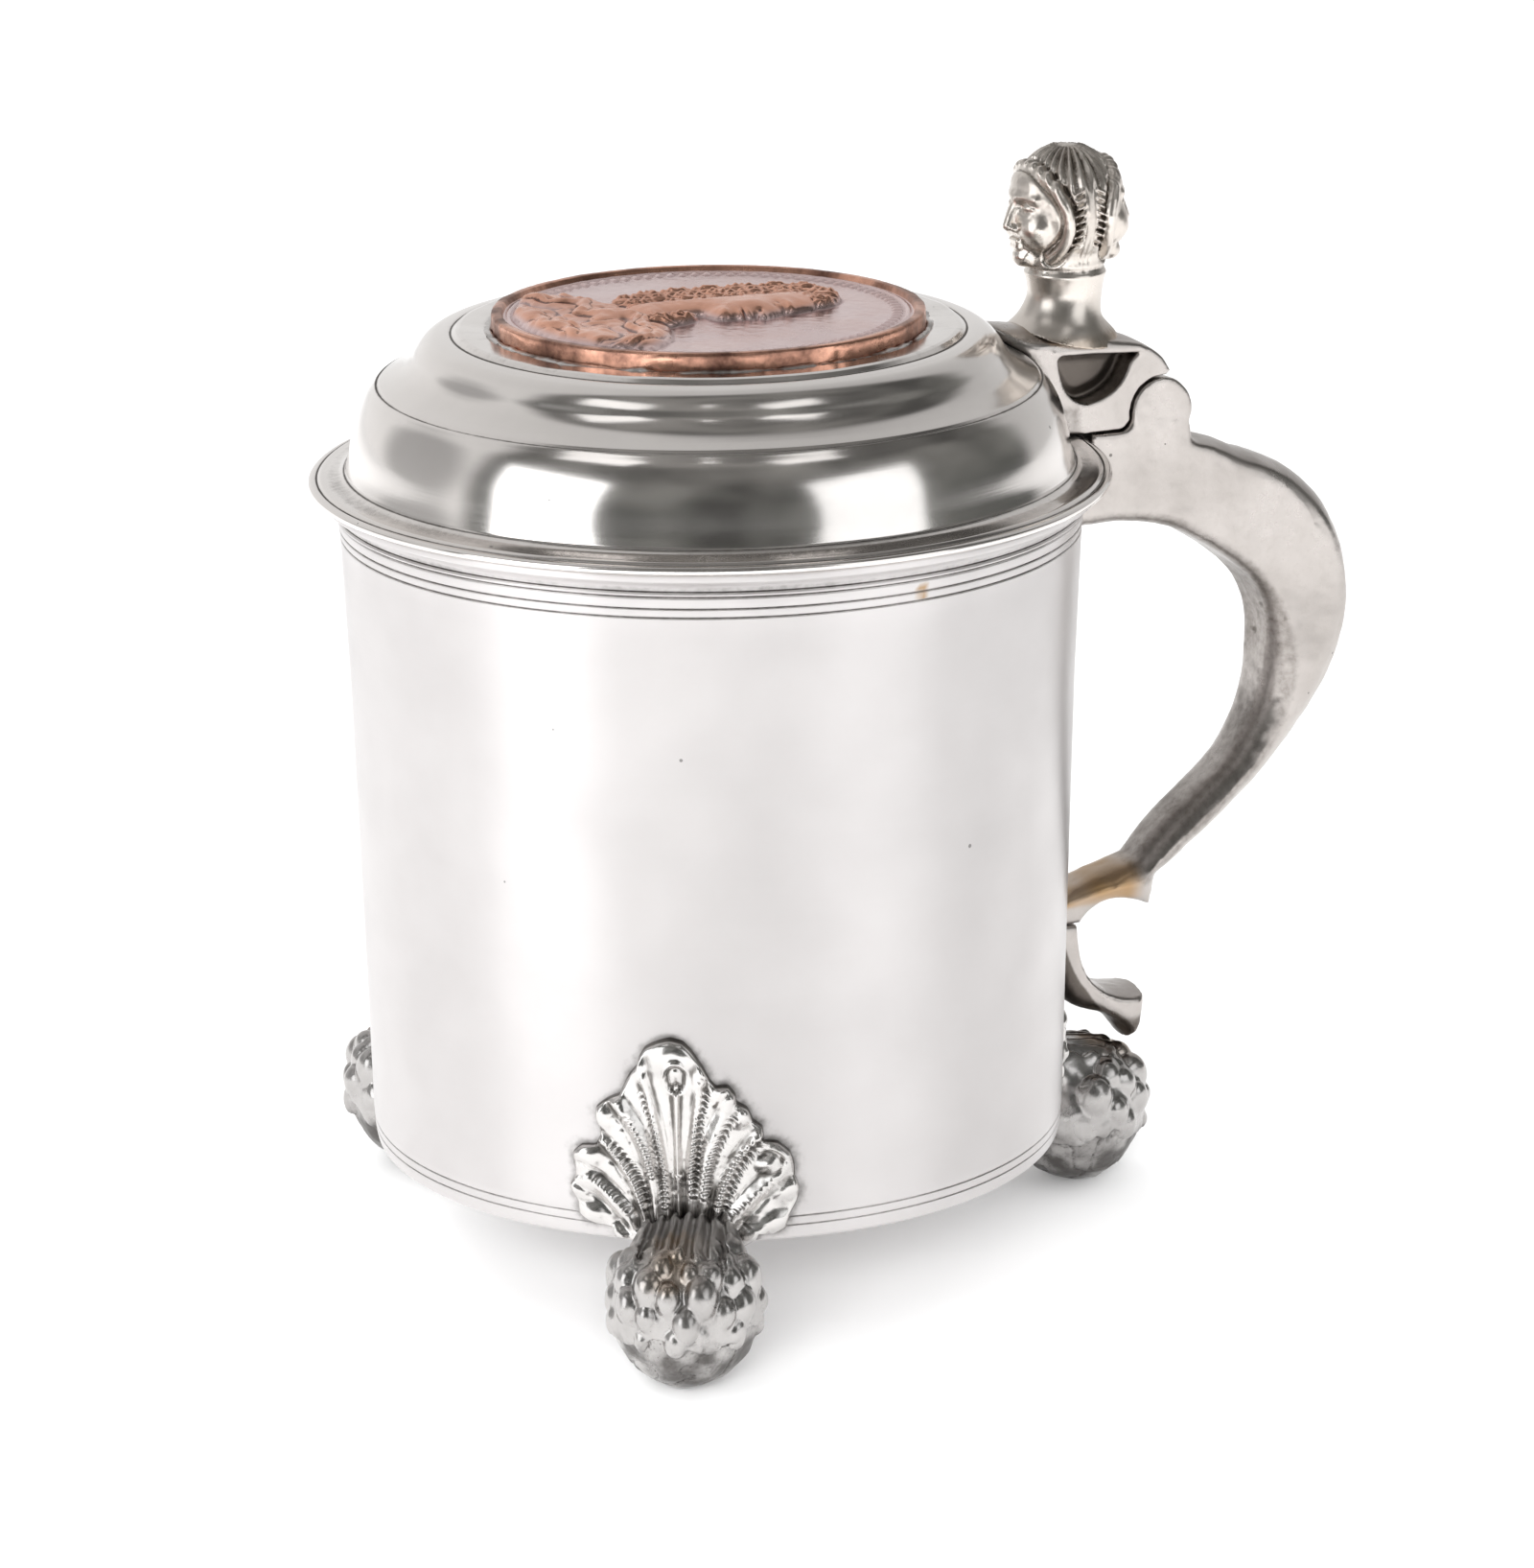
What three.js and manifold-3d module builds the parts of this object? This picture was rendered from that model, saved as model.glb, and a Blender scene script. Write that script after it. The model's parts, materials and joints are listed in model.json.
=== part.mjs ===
// A pewter tankard: a nearly straight drum on three ball-and-claw feet, a scroll handle with
// a hooked tail, and a hinged domed lid that carries a medal and a two-faced thumbpiece.
// Millimetres, +Z up, standing on Z = 0. X runs from the front of the drum to the handle.

import * as THREE from 'three';
import { mergeVertices } from 'three/addons/utils/BufferGeometryUtils.js';
import Module from 'manifold-3d';

const wasm = await Module();
wasm.setup();

// ---------------------------------------------------------------- driving dimensions

const GAP = 0.3;                 // space between two pieces that are soldered or rest together
const RUNNING_GAP = 0.25;        // space round the hinge pin
const WALL = 2.4;                // drum
const LID_WALL = 2.0;
const ROUND_SIDES = 64;          // facets round the drum and the lid
const SMALL_SIDES = 48;          // facets round the medal
const BAR_SIDES = 32;            // facets round the hinge pin, its bores and the knuckles
const MERGE_DISTANCE = 1e-4;

const BASE_Z = 18.8;             // underside of the drum
const RIM_Z = 122.6;             // top of the drum
const RIM_RADIUS = 59.4;
const BASE_PLATE_Z = 19.8;
const BASE_PLATE_THICK = 2.2;

const LID_RADIUS = 61.1;         // the lid's flange
const LID_Z = RIM_Z + GAP;
const PLATEAU_Z = 146.6;         // flat top of the lid
const SEAT_Z = 145.2;            // ledge that the medal lies on
const SEAT_OPENING = 30.5;       // the lid is pierced under the medal

const MEDAL_RADIUS = 32.8;
const MEDAL_TOP = 149;
const MEDAL_FIELD = 148.2;

const PIN_X = 73.7;              // hinge pin, lying along Y
const PIN_Z = 127.1;
const PIN_RADIUS = 2.3;
const EAR_RADIUS = 5.2;
const HINGE_WIDTH = 14;
const LUG_EDGES = [1.2, 4.4];    // each lid lug sits between these distances from the middle

const HANDLE_REACH = 108.9;      // from the drum's axis to the back of the handle
const HANDLE_TOP = 124.4;
const HANDLE_TAPER = 0.66;       // width of the strap at the strut over its width at the hinge
const SPINE_WIDTH = 8;           // of the raised spine along the upper back of the handle
const STRUT_Z = 44.4;            // underside of the handle's lower strut at the drum
const HOOK_WIDTH = 8.8;

const HEAD_X = 60.2;             // thumbpiece
const HEAD_Z = 159.3;
const HEAD_TOP = 169;

// The feet are soldered on by hand, so they differ a little: the turn of the leaf round the
// drum, how far out the ball's centre is, and how far the ball leans to one side, in degrees.
const FEET = [
  { turn: 0, reach: 62.3, lean: 0 },
  { turn: 120, reach: 61.5, lean: 0 },
  { turn: -119.3, reach: 61.5, lean: 1.5 },
];
const BALL_RADIUS = 12;
const BALL_Z = 11.7;             // the ball is flattened where it stands
const FOOT_SEAM_Z = 20;          // the ball's casting ends here and the leaf's begins
const LEAF_TOP = 51.3;
const LEAF_THICK = 1.9;

// The origin stands under the middle of the whole length, so the drum's axis lies in front.
const AXIS_X = -(HANDLE_REACH - LID_RADIUS) / 2;

// ---------------------------------------------------------------- solids

// The closed solid that a geometry bounds, with its faces pointing out.
function solidOf(geometry) {
  const bare = new THREE.BufferGeometry();
  bare.setAttribute('position', geometry.getAttribute('position'));
  if (geometry.index) bare.setIndex(geometry.index);
  const merged = mergeVertices(bare, MERGE_DISTANCE);
  const corners = merged.index.array;
  const triangles = [];
  for (let i = 0; i < corners.length; i += 3) {
    const [a, b, c] = corners.slice(i, i + 3);
    if (a !== b && b !== c && c !== a) triangles.push([a, b, c]);
  }
  const build = (list) => new wasm.Manifold(new wasm.Mesh({
    numProp: 3,
    vertProperties: new Float32Array(merged.getAttribute('position').array),
    triVerts: new Uint32Array(list.flat()),
  }));
  const solid = build(triangles);
  return solid.volume() > 0 ? solid : build(triangles.map(([a, b, c]) => [a, c, b]));
}

// A profile of [radius, height] points turned round the Z axis.
function turned(profile, sides = ROUND_SIDES) {
  const points = profile.map(([r, z]) => new THREE.Vector2(r, z));
  return solidOf(new THREE.LatheGeometry(points, sides).rotateX(Math.PI / 2));
}

// A ring whose [radius, height] profile closes on itself.
function ring(profile, sides = ROUND_SIDES) {
  return turned([...profile, profile[0]], sides);
}

// A side outline, drawn in X and Z, as a plate centred on the XZ plane.
function plate(outline, width, curveSegments = 8) {
  const settings = { depth: width, bevelEnabled: false, curveSegments };
  const geometry = new THREE.ExtrudeGeometry(outline, settings);
  return solidOf(geometry.rotateX(Math.PI / 2).translate(0, width / 2, 0));
}

// A round bar along Y, through (x, z).
function barAlongY(x, z, radius, width, y = 0, sides = BAR_SIDES) {
  const geometry = new THREE.CylinderGeometry(radius, radius, width, sides);
  return solidOf(geometry.translate(x, y, z));
}

function ellipsoid([x, y, z], [rx, ry, rz], columns = 18, rows = 12) {
  const geometry = new THREE.SphereGeometry(1, columns, rows).rotateX(Math.PI / 2);
  return solidOf(geometry.scale(rx, ry, rz).translate(x, y, z));
}

function block([x0, y0, z0], [x1, y1, z1]) {
  const geometry = new THREE.BoxGeometry(x1 - x0, y1 - y0, z1 - z0);
  return solidOf(geometry.translate((x0 + x1) / 2, (y0 + y1) / 2, (z0 + z1) / 2));
}

function union(first, ...others) {
  return others.reduce((sum, other) => sum.add(other), first);
}

function cut(first, ...others) {
  return others.reduce((rest, other) => rest.subtract(other), first);
}

// Moves each point of an outer profile, which climbs from the rim to the axis, outwards.
function grown(profile, distance) {
  return profile.map(([r, z], i) => {
    const [r0, z0] = profile[Math.max(i - 1, 0)];
    const [r1, z1] = profile[Math.min(i + 1, profile.length - 1)];
    const length = Math.hypot(r1 - r0, z1 - z0);
    const outward = distance * (z1 - z0) / length;
    const upward = -distance * (r1 - r0) / length;
    return [Math.max(r + outward, 0), z + upward];
  });
}

function shapeThrough(start, steps) {
  const shape = new THREE.Shape();
  shape.moveTo(...start);
  for (const step of steps) {
    if (step.line) step.line.forEach((point) => shape.lineTo(...point));
    if (step.curve) shape.splineThru(step.curve.map((point) => new THREE.Vector2(...point)));
    if (step.bend) shape.quadraticCurveTo(...step.bend[0], ...step.bend[1]);
  }
  return shape;
}

// ---------------------------------------------------------------- materials

const PEWTER = { color: 0xc9c6c3, roughness: 0.28, metalness: 1 };
const CAST_PEWTER = { color: 0xb7b2ac, roughness: 0.42, metalness: 1 };
const AGED_PEWTER = { color: 0x8f8a84, roughness: 0.45, metalness: 1 };
const SOLDER = { color: 0x9c9893, roughness: 0.6, metalness: 1 };
const COPPER = { color: 0xb9765a, roughness: 0.38, metalness: 1 };

const group = new THREE.Group();
group.position.x = AXIS_X;

function addPart(name, solid, finish) {
  const { vertProperties, triVerts } = solid.getMesh();
  const geometry = new THREE.BufferGeometry();
  geometry.setAttribute('position', new THREE.BufferAttribute(new Float32Array(vertProperties), 3));
  geometry.setIndex(new THREE.BufferAttribute(new Uint32Array(triVerts), 1));
  geometry.computeVertexNormals();
  const mesh = new THREE.Mesh(geometry, new THREE.MeshStandardMaterial(finish));
  mesh.name = name;
  group.add(mesh);
}

// ---------------------------------------------------------------- drum and base plate

const drumOutside = [
  [52.6, BASE_Z],
  [53.5, BASE_Z + 1],
  [53.9, 25],
  [54.7, 60],
  [55.5, 92],
  [56.5, 115.5],
  [56.8, 118.8],
  [57.4, 119.8],
  [58.5, 121.2],
  [RIM_RADIUS, 122.1],
  [RIM_RADIUS, RIM_Z],
];
const drumInside = [
  [54.4, RIM_Z],
  [52.9, 92],
  [54.7 - WALL, 60],
  [53.9 - WALL, 25],
  [53.9 - WALL, BASE_Z],
];
const drumKeepOut = turned([
  [0, BASE_Z - GAP],
  ...grown(drumOutside, GAP),
  [RIM_RADIUS + GAP, RIM_Z + GAP],
  [0, RIM_Z + GAP],
]);
addPart('body_drum', ring([...drumOutside, ...drumInside]), PEWTER);

const basePlateRadius = 53.9 - WALL - GAP;
const basePlateTop = BASE_PLATE_Z + BASE_PLATE_THICK;
addPart('base_plate', turned([
  [0, BASE_PLATE_Z],
  [basePlateRadius, BASE_PLATE_Z],
  [basePlateRadius, basePlateTop],
  [0, basePlateTop],
]), PEWTER);

// ---------------------------------------------------------------- lid

const domeOutside = [
  [60.8, LID_Z],
  [LID_RADIUS, LID_Z + 0.3],
  [LID_RADIUS, 123.8],
  [60.6, 124.2],
  [55.8, 125.2],
  [54.9, 127.4],
  [54.2, 131],
  [52.6, 135.2],
  [50.6, 138.2],
  [47.8, 139.8],
  [45.6, 141.5],
  [44.2, 143.6],
  [42.8, 145],
  [38.9, 145.9],
  [38.2, PLATEAU_Z],
];
const lidOpeningZ = SEAT_Z - 1.3;
const domeInside = [
  [MEDAL_RADIUS + GAP, PLATEAU_Z],
  [MEDAL_RADIUS + GAP, SEAT_Z],
  [SEAT_OPENING, SEAT_Z],
  [SEAT_OPENING, lidOpeningZ],
  [38, 143.7],
  [42.6, 142],
  [46.2, 138.6],
  [49, 136.2],
  [54.2 - LID_WALL, 130],
  [53.6, LID_Z],
];
addPart('lid_shell', ring([...domeOutside, ...domeInside]), PEWTER);

const lidKeepOut = turned([
  [0, LID_Z - GAP],
  [LID_RADIUS, LID_Z - GAP],
  ...grown(domeOutside, GAP),
  [0, PLATEAU_Z + GAP],
]);

// ---------------------------------------------------------------- medal and its solder bead

const reliefRise = 0.7;
const medalDisc = turned([
  [0, SEAT_Z + GAP],
  [MEDAL_RADIUS, SEAT_Z + GAP],
  [MEDAL_RADIUS, MEDAL_TOP - 0.3],
  [MEDAL_RADIUS - 0.4, MEDAL_TOP],
  [MEDAL_RADIUS - 1.4, MEDAL_TOP],
  [MEDAL_RADIUS - 1.9, MEDAL_FIELD],
  [0, MEDAL_FIELD],
], SMALL_SIDES);
// A plain head, neck and shoulders in low relief; the crown of the head is nearest the hinge.
const medalHead = ellipsoid([8, 0, MEDAL_FIELD], [9.5, 7.5, reliefRise], 20, 8);
const medalNeck = ellipsoid([-3, 1, MEDAL_FIELD], [7, 5, reliefRise - 0.1], 16, 8);
const medalShoulders = ellipsoid([-13, 1, MEDAL_FIELD], [7, 15, reliefRise], 20, 8);
addPart('lid_medal', union(medalDisc, medalHead, medalNeck, medalShoulders), COPPER);

const beadInner = MEDAL_RADIUS + GAP;
const beadZ = PLATEAU_Z + GAP;
addPart('medal_solder_bead', ring([
  [beadInner, beadZ],
  [beadInner + 1.9, beadZ],
  [beadInner + 1, beadZ + 0.7],
  [beadInner, beadZ + 1],
], SMALL_SIDES), SOLDER);

// ---------------------------------------------------------------- hinge leaf on the lid

const leafTop = [
  [46, 142.6],
  [53, 141.4],
  [61, 139.5],
  [68.8, 138.4],
  [73.2, 136.3],
  [75.1, 133.6],
];
const leafOutline = shapeThrough([45, 138], [
  { line: [[45, 142.6]] },
  { curve: leafTop },
  { line: [[74.5, 132.9], [73.7, 131], [69, 127], [67.6, 125.6]] },
  { bend: [[67, HANDLE_TOP + 0.4], [66.2, HANDLE_TOP + 0.4]] },
  { line: [[61.6, HANDLE_TOP + 0.4], [50, HANDLE_TOP + 0.4]] },
]);
// Seen from above, the leaf ends on the lid in a half round.
const noseX = 53.2;
const leafPlan = union(
  block([noseX, -HINGE_WIDTH / 2, 110], [90, HINGE_WIDTH / 2, 160]),
  turned([[0, 110], [HINGE_WIDTH / 2, 110], [HINGE_WIDTH / 2, 160], [0, 160]], BAR_SIDES)
    .translate([noseX, 0, 0]),
);
const lugWidth = LUG_EDGES[1] - LUG_EDGES[0] - 2 * GAP;
const lugMiddle = (LUG_EDGES[0] + LUG_EDGES[1]) / 2;
const pinBore = barAlongY(PIN_X, PIN_Z, PIN_RADIUS + RUNNING_GAP, HINGE_WIDTH + 2);
const earSpace = barAlongY(PIN_X, PIN_Z, EAR_RADIUS + 0.4, HINGE_WIDTH + 2);
const leafBody = cut(plate(leafOutline, HINGE_WIDTH).intersect(leafPlan), earSpace, lidKeepOut);
const lidLugs = [-1, 1].map((side) => {
  const knuckle = barAlongY(PIN_X, PIN_Z, EAR_RADIUS - GAP, lugWidth, side * lugMiddle);
  const web = block(
    [PIN_X - 5.8, side * lugMiddle - lugWidth / 2, PIN_Z],
    [PIN_X, side * lugMiddle + lugWidth / 2, PIN_Z + 6.6],
  );
  return knuckle.add(web);
});
// A half-round hollow is cast into each cheek.
const pocketOutline = shapeThrough([55.6, 137.2], [
  { line: [[69.4, 136.9], [67.9, 135.6]] },
  { bend: [[66.5, 130], [60.4, 129.2]] },
  { bend: [[56.4, 130], [55.6, 137.2]] },
]);
const pocketDepth = 4.4;
const pockets = plate(pocketOutline, HINGE_WIDTH + 2)
  .subtract(block([40, -HINGE_WIDTH / 2 + pocketDepth, 120], [80, HINGE_WIDTH / 2 - pocketDepth, 150]));
addPart('hinge_leaf', cut(union(leafBody, ...lidLugs), pockets, pinBore), CAST_PEWTER);

// ---------------------------------------------------------------- thumbpiece

const neck = turned([
  [0, 136],
  [7.4, 136],
  [7.2, 140.2],
  [5.9, 143],
  [5.3, 146.5],
  [5.7, 150],
  [6.8, 153],
  [0, 156],
], BAR_SIDES).translate([HEAD_X - 0.2, 0, 0]);
const headHeight = HEAD_TOP - HEAD_Z;
const skull = ellipsoid([HEAD_X, 0, HEAD_Z], [8.2, 8.4, headHeight]);
const hairBand = ellipsoid([HEAD_X, 0, HEAD_Z - 0.2], [2.4, 8.9, headHeight - 0.2], 20, 10);
const faces = [-1, 1].map((side) => {
  const cheeks = ellipsoid([HEAD_X + side * 3.6, 0, HEAD_Z - 1.8], [5.8, 6.6, 7.6], 14, 10);
  const nose = ellipsoid([HEAD_X + side * 8.8, 0, HEAD_Z - 1], [1.3, 1, 2], 8, 6);
  return cheeks.add(nose);
});
const leafTopRaised = shapeThrough([45, 120], [
  { line: [[45, 142.6 + GAP]] },
  { curve: leafTop.map(([x, z]) => [x, z + GAP]) },
  { line: [[78, 120]] },
]);
const thumbpiece = union(neck, skull, hairBand, ...faces);
addPart('thumbpiece', cut(thumbpiece, plate(leafTopRaised, 3 * HINGE_WIDTH)), CAST_PEWTER);

// ---------------------------------------------------------------- handle

const upperBack = [
  [82.9, 119.8], [86.6, 117.4], [90.1, 115.8], [94.4, 113.4], [97.8, 110.6], [101, 107],
  [104, 102.8], [106, 98.8], [107, 94], [106.4, 88.6],
];
const lowerBack = [
  [103.4, 79.8], [97.8, 71.3], [91.9, 64.8], [85.2, 59.2], [78.4, 54.6], [74.6, 51],
];
// The shoulder drops away from the ear's circle, which leaves room for the open lid's leaf.
const shoulder = [PIN_X + 4.9, PIN_Z - 1.8];
const handleOutline = shapeThrough([50, RIM_Z - GAP], [
  { line: [[61.5, RIM_Z - GAP], [61.5, HANDLE_TOP], [66.6, HANDLE_TOP]] },
  { bend: [[68.4, HANDLE_TOP], [68.6, PIN_Z]] },
  { line: [shoulder, [79, 121.6]] },
  { curve: [...upperBack, ...lowerBack] },
  { line: [[73.6, 45.9]] },
  { bend: [[67.8, 47.9], [65, 46.9]] },
  { bend: [[63.2, 46.4], [61.6, STRUT_Z]] },
  { line: [[50, STRUT_Z], [50, 47], [56, 47.6]] },
  { bend: [[64.4, 49.6], [72.7, 52]] },
  { curve: [
    [77.4, 57.3], [82.4, 61.4], [87.6, 65.6], [91.5, 70.6], [94.2, 76], [95.5, 82],
    [95.3, 88], [94.2, 92.6], [91.4, 97.2], [86.8, 101.4], [80.9, 105.2], [75.1, 108],
    [67.8, 109.4],
  ] },
  { bend: [[61, 109.6], [54, 108.6]] },
  { line: [[50, 108.6]] },
]);
// Along its upper back the strap carries a rounded spine.
const spineOutline = shapeThrough([80, 115], [
  { line: [[80.4, 121.4]] },
  { curve: [
    [83.4, 121.2], [86.6, 119.8], [89.9, 118.4], [97.2, 115.2], [101.2, 112.2],
    [104.6, 108.8], [106.9, 104.8], [108.2, 101], [HANDLE_REACH, 96], [108.2, 91.4],
    [105, 84],
  ] },
  { line: [[98, 84], [98, 98], [92, 106]] },
]);
// Both narrow from the hinge to the strut.
function tapered(solid) {
  return solid.warp((vertex) => {
    const fall = THREE.MathUtils.smoothstep(HANDLE_TOP - vertex[2], 8, 72);
    vertex[1] *= THREE.MathUtils.lerp(1, HANDLE_TAPER, fall);
  });
}
const handleStrap = union(
  tapered(plate(handleOutline, HINGE_WIDTH, 3)),
  tapered(plate(spineOutline, SPINE_WIDTH, 3)),
);
const ear = barAlongY(PIN_X, PIN_Z, EAR_RADIUS, HINGE_WIDTH);
const lugSlots = [-1, 1].map((side) => {
  const width = LUG_EDGES[1] - LUG_EDGES[0];
  return barAlongY(PIN_X, PIN_Z, EAR_RADIUS + 0.7, width, side * lugMiddle);
});
const lugSlotsAbove = [-1, 1].map((side) => {
  const reach = (LUG_EDGES[1] - LUG_EDGES[0]) / 2;
  return block(
    [PIN_X - 8, side * lugMiddle - reach, PIN_Z - 0.2],
    [PIN_X, side * lugMiddle + reach, PIN_Z + 8],
  );
});
addPart(
  'handle_scroll',
  cut(handleStrap.add(ear), drumKeepOut, ...lugSlots, ...lugSlotsAbove, pinBore),
  CAST_PEWTER,
);
addPart(
  'hinge_pin',
  barAlongY(PIN_X, PIN_Z, PIN_RADIUS, HINGE_WIDTH + 0.2),
  AGED_PEWTER,
);

const hookTop = STRUT_Z - GAP;
const hookOutline = shapeThrough([57.2, hookTop], [
  { bend: [[56.6, 37], [58.9, 32.2]] },
  { bend: [[60.8, 29], [66, 28.4]] },
  { bend: [[68.6, 27.6], [70.8, 24]] },
  { bend: [[72.4, 27], [73, 30.4]] },
  { bend: [[69.6, 31.6], [66.8, 31.7]] },
  { bend: [[60.6, 34.4], [60.9, 40]] },
  { line: [[61.2, hookTop]] },
]);
// The tail spreads towards its tip like a spade.
const hook = plate(hookOutline, HOOK_WIDTH, 5).warp((vertex) => {
  const spread = THREE.MathUtils.smoothstep(vertex[0], 62, 73);
  vertex[1] *= THREE.MathUtils.lerp(1, 1.25, spread);
});
addPart('handle_hook', hook, CAST_PEWTER);

// ---------------------------------------------------------------- feet

// Half of the palmette, from its tip down: each lobe swells to a point and ends in a notch.
const leafLobes = [
  [[5, 50.6], [7, 44.8]],
  [[10.2, 45.4], [10, 41]],
  [[13.4, 41], [13, 36.4]],
  [[19, 36.6], [16.6, 29.6]],
  [[18.8, 22], [11.5, FOOT_SEAM_Z + GAP]],
];
const palmette = new THREE.Shape();
palmette.moveTo(0, LEAF_TOP);
for (const [swell, notch] of leafLobes) {
  palmette.quadraticCurveTo(...swell, ...notch);
}
palmette.lineTo(-leafLobes.at(-1)[1][0], leafLobes.at(-1)[1][1]);
for (let i = leafLobes.length - 1; i >= 0; i -= 1) {
  const [swellY, swellZ] = leafLobes[i][0];
  const [endY, endZ] = i > 0 ? leafLobes[i - 1][1] : [0, LEAF_TOP];
  palmette.quadraticCurveTo(-swellY, swellZ, -endY, endZ);
}

function ballCentre({ reach, lean }) {
  const angle = THREE.MathUtils.degToRad(lean);
  return [reach * Math.cos(angle), reach * Math.sin(angle), BALL_Z];
}

function footLeaf(foot, topZ) {
  const settings = { depth: 30, bevelEnabled: false, curveSegments: 4 };
  const prism = new THREE.ExtrudeGeometry(palmette, settings);
  prism.rotateX(Math.PI / 2).rotateZ(Math.PI / 2).translate(40, 0, 0);
  const skin = turned([
    [0, BASE_Z],
    [53.9 + GAP + LEAF_THICK, BASE_Z],
    [54.5 + GAP + LEAF_THICK, 55],
    [0, 55],
  ]);
  const shoulder = ellipsoid([56.4, 0, 22.5], [5.2, 8.6, 8]);
  const shape = solidOf(prism).intersect(skin).add(shoulder);
  const ballSpace = ellipsoid(ballCentre(foot), Array(3).fill(BALL_RADIUS + GAP));
  const above = block([40, -40, topZ], [80, 40, 80]);
  const below = block([40, -40, 0], [80, 40, FOOT_SEAM_Z + GAP]);
  return cut(shape, drumKeepOut, ballSpace, above, below);
}

function footBall(foot) {
  const [centreX, centreY] = ballCentre(foot);
  const ball = ellipsoid([centreX, centreY, BALL_Z], Array(3).fill(BALL_RADIUS));
  const neckUnderLeaf = ellipsoid([55.5, 0, 14.6], [6, 8, 8], 14, 8);
  const toes = [-50, 0, 50].map((degrees) => {
    const angle = THREE.MathUtils.degToRad(degrees);
    const x = centreX + 7.8 * Math.cos(angle);
    const y = centreY + 7.8 * Math.sin(angle);
    return ellipsoid([x, y, BALL_Z + 6], [4, 4, 4.4], 10, 8);
  });
  const leafSpace = block([40, -40, FOOT_SEAM_Z], [57.6, 40, 40]);
  const underFloor = block([30, -40, -20], [90, 40, 0]);
  return cut(union(ball, neckUnderLeaf, ...toes), drumKeepOut, leafSpace, underFloor);
}

FEET.forEach((foot, i) => {
  const turn = [0, 0, foot.turn];
  // The leaf under the handle stops where the strut meets the drum.
  const topZ = foot.turn === 0 ? hookTop - GAP : LEAF_TOP + 1;
  addPart(`foot_leaf_${i + 1}`, footLeaf(foot, topZ).rotate(turn), AGED_PEWTER);
  addPart(`foot_ball_${i + 1}`, footBall(foot).rotate(turn), AGED_PEWTER);
});

export default group;
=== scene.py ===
"""Looks for the pewter tankard. Shapes are worked out in millimetres about the drum's axis, with Z up
and X towards the handle, and are moved into the row frame, in metres, when each mesh is made."""

import json
import math

import bpy
import numpy as np
from mathutils import Matrix, Vector


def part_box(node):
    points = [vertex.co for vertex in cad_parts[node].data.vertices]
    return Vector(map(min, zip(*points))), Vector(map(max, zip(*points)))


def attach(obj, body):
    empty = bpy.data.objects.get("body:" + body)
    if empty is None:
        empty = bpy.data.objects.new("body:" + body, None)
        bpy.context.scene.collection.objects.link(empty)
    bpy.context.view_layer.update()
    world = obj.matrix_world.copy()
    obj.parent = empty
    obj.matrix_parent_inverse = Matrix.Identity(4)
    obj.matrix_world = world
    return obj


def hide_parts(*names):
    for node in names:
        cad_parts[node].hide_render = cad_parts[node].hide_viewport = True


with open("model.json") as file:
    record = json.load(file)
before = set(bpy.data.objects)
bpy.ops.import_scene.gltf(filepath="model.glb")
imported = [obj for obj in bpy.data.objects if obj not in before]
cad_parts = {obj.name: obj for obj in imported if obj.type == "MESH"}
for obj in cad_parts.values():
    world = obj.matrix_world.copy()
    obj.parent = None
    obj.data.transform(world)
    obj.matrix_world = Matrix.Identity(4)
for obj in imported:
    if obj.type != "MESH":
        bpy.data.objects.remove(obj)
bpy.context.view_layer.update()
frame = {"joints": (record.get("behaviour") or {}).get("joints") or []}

# ---- places taken from the CAD

MM = 0.001
plate_low, plate_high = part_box("base_plate")
AXIS_X = (plate_low.x + plate_high.x) / 2
hinge = frame["joints"][0]
PIN_X = (hinge["pos_m"][0] - AXIS_X) / MM
PIN_Z = hinge["pos_m"][2] / MM
BASE_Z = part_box("body_drum")[0].z / MM
RIM_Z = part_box("body_drum")[1].z / MM
LID_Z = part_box("lid_shell")[0].z / MM
medal_low, medal_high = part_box("lid_medal")
MEDAL_Z, MEDAL_TOP = medal_low.z / MM, medal_high.z / MM
MEDAL_R = (medal_high.y - medal_low.y) / 2 / MM
HEAD_X, HEAD_Z = 60.2, 159.3
EAR_R = 5.2
HINGE_W = 14.0
LUGS = (1.2, 4.4)            # where each lug of the bracket begins and ends, from the hinge's middle
BORE_R = 2.5
HANDLE_TOP = 124.4
FEET = [(0.0, 62.3, 0.0), (120.0, 61.5, 0.0), (-119.3, 61.5, 1.5)]   # turn, reach in mm, lean
BALL_Z = 11.7

# ---- camera

YAW, PITCH, ROLL = math.radians(23.5), math.radians(16.55), math.radians(-0.55)
CAMERA_PLACE = (-336.7, -794.8, 330.4)
CAMERA_LENS = 133.8
TO_RIGHT = Vector((math.cos(YAW), -math.sin(YAW), 0))
TO_CAMERA = Vector((-math.sin(YAW), -math.cos(YAW), 0))


def added(name, data):
    """A new object in the scene."""
    made = bpy.data.objects.new(name, data)
    bpy.context.scene.collection.objects.link(made)
    return made


def make_camera():
    forward = -TO_CAMERA * math.cos(PITCH) - Vector((0, 0, math.sin(PITCH)))
    up = TO_RIGHT.cross(forward)
    x = TO_RIGHT * math.cos(ROLL) + up * math.sin(ROLL)
    y = up * math.cos(ROLL) - TO_RIGHT * math.sin(ROLL)
    data = bpy.data.cameras.new("camera")
    data.lens = CAMERA_LENS
    data.sensor_width = 36
    data.clip_start, data.clip_end = 0.05, 50
    camera = added("camera", data)
    place = Matrix((x, y, -forward)).transposed().to_4x4()
    place.translation = Vector(CAMERA_PLACE) * MM + Vector((AXIS_X, 0, 0))
    camera.matrix_world = place
    bpy.context.scene.camera = camera


make_camera()

# ---- numbers in space


def smooth(low, high, x):
    t = np.clip((x - low) / (high - low), 0, 1)
    return t * t * (3 - 2 * t)


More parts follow.
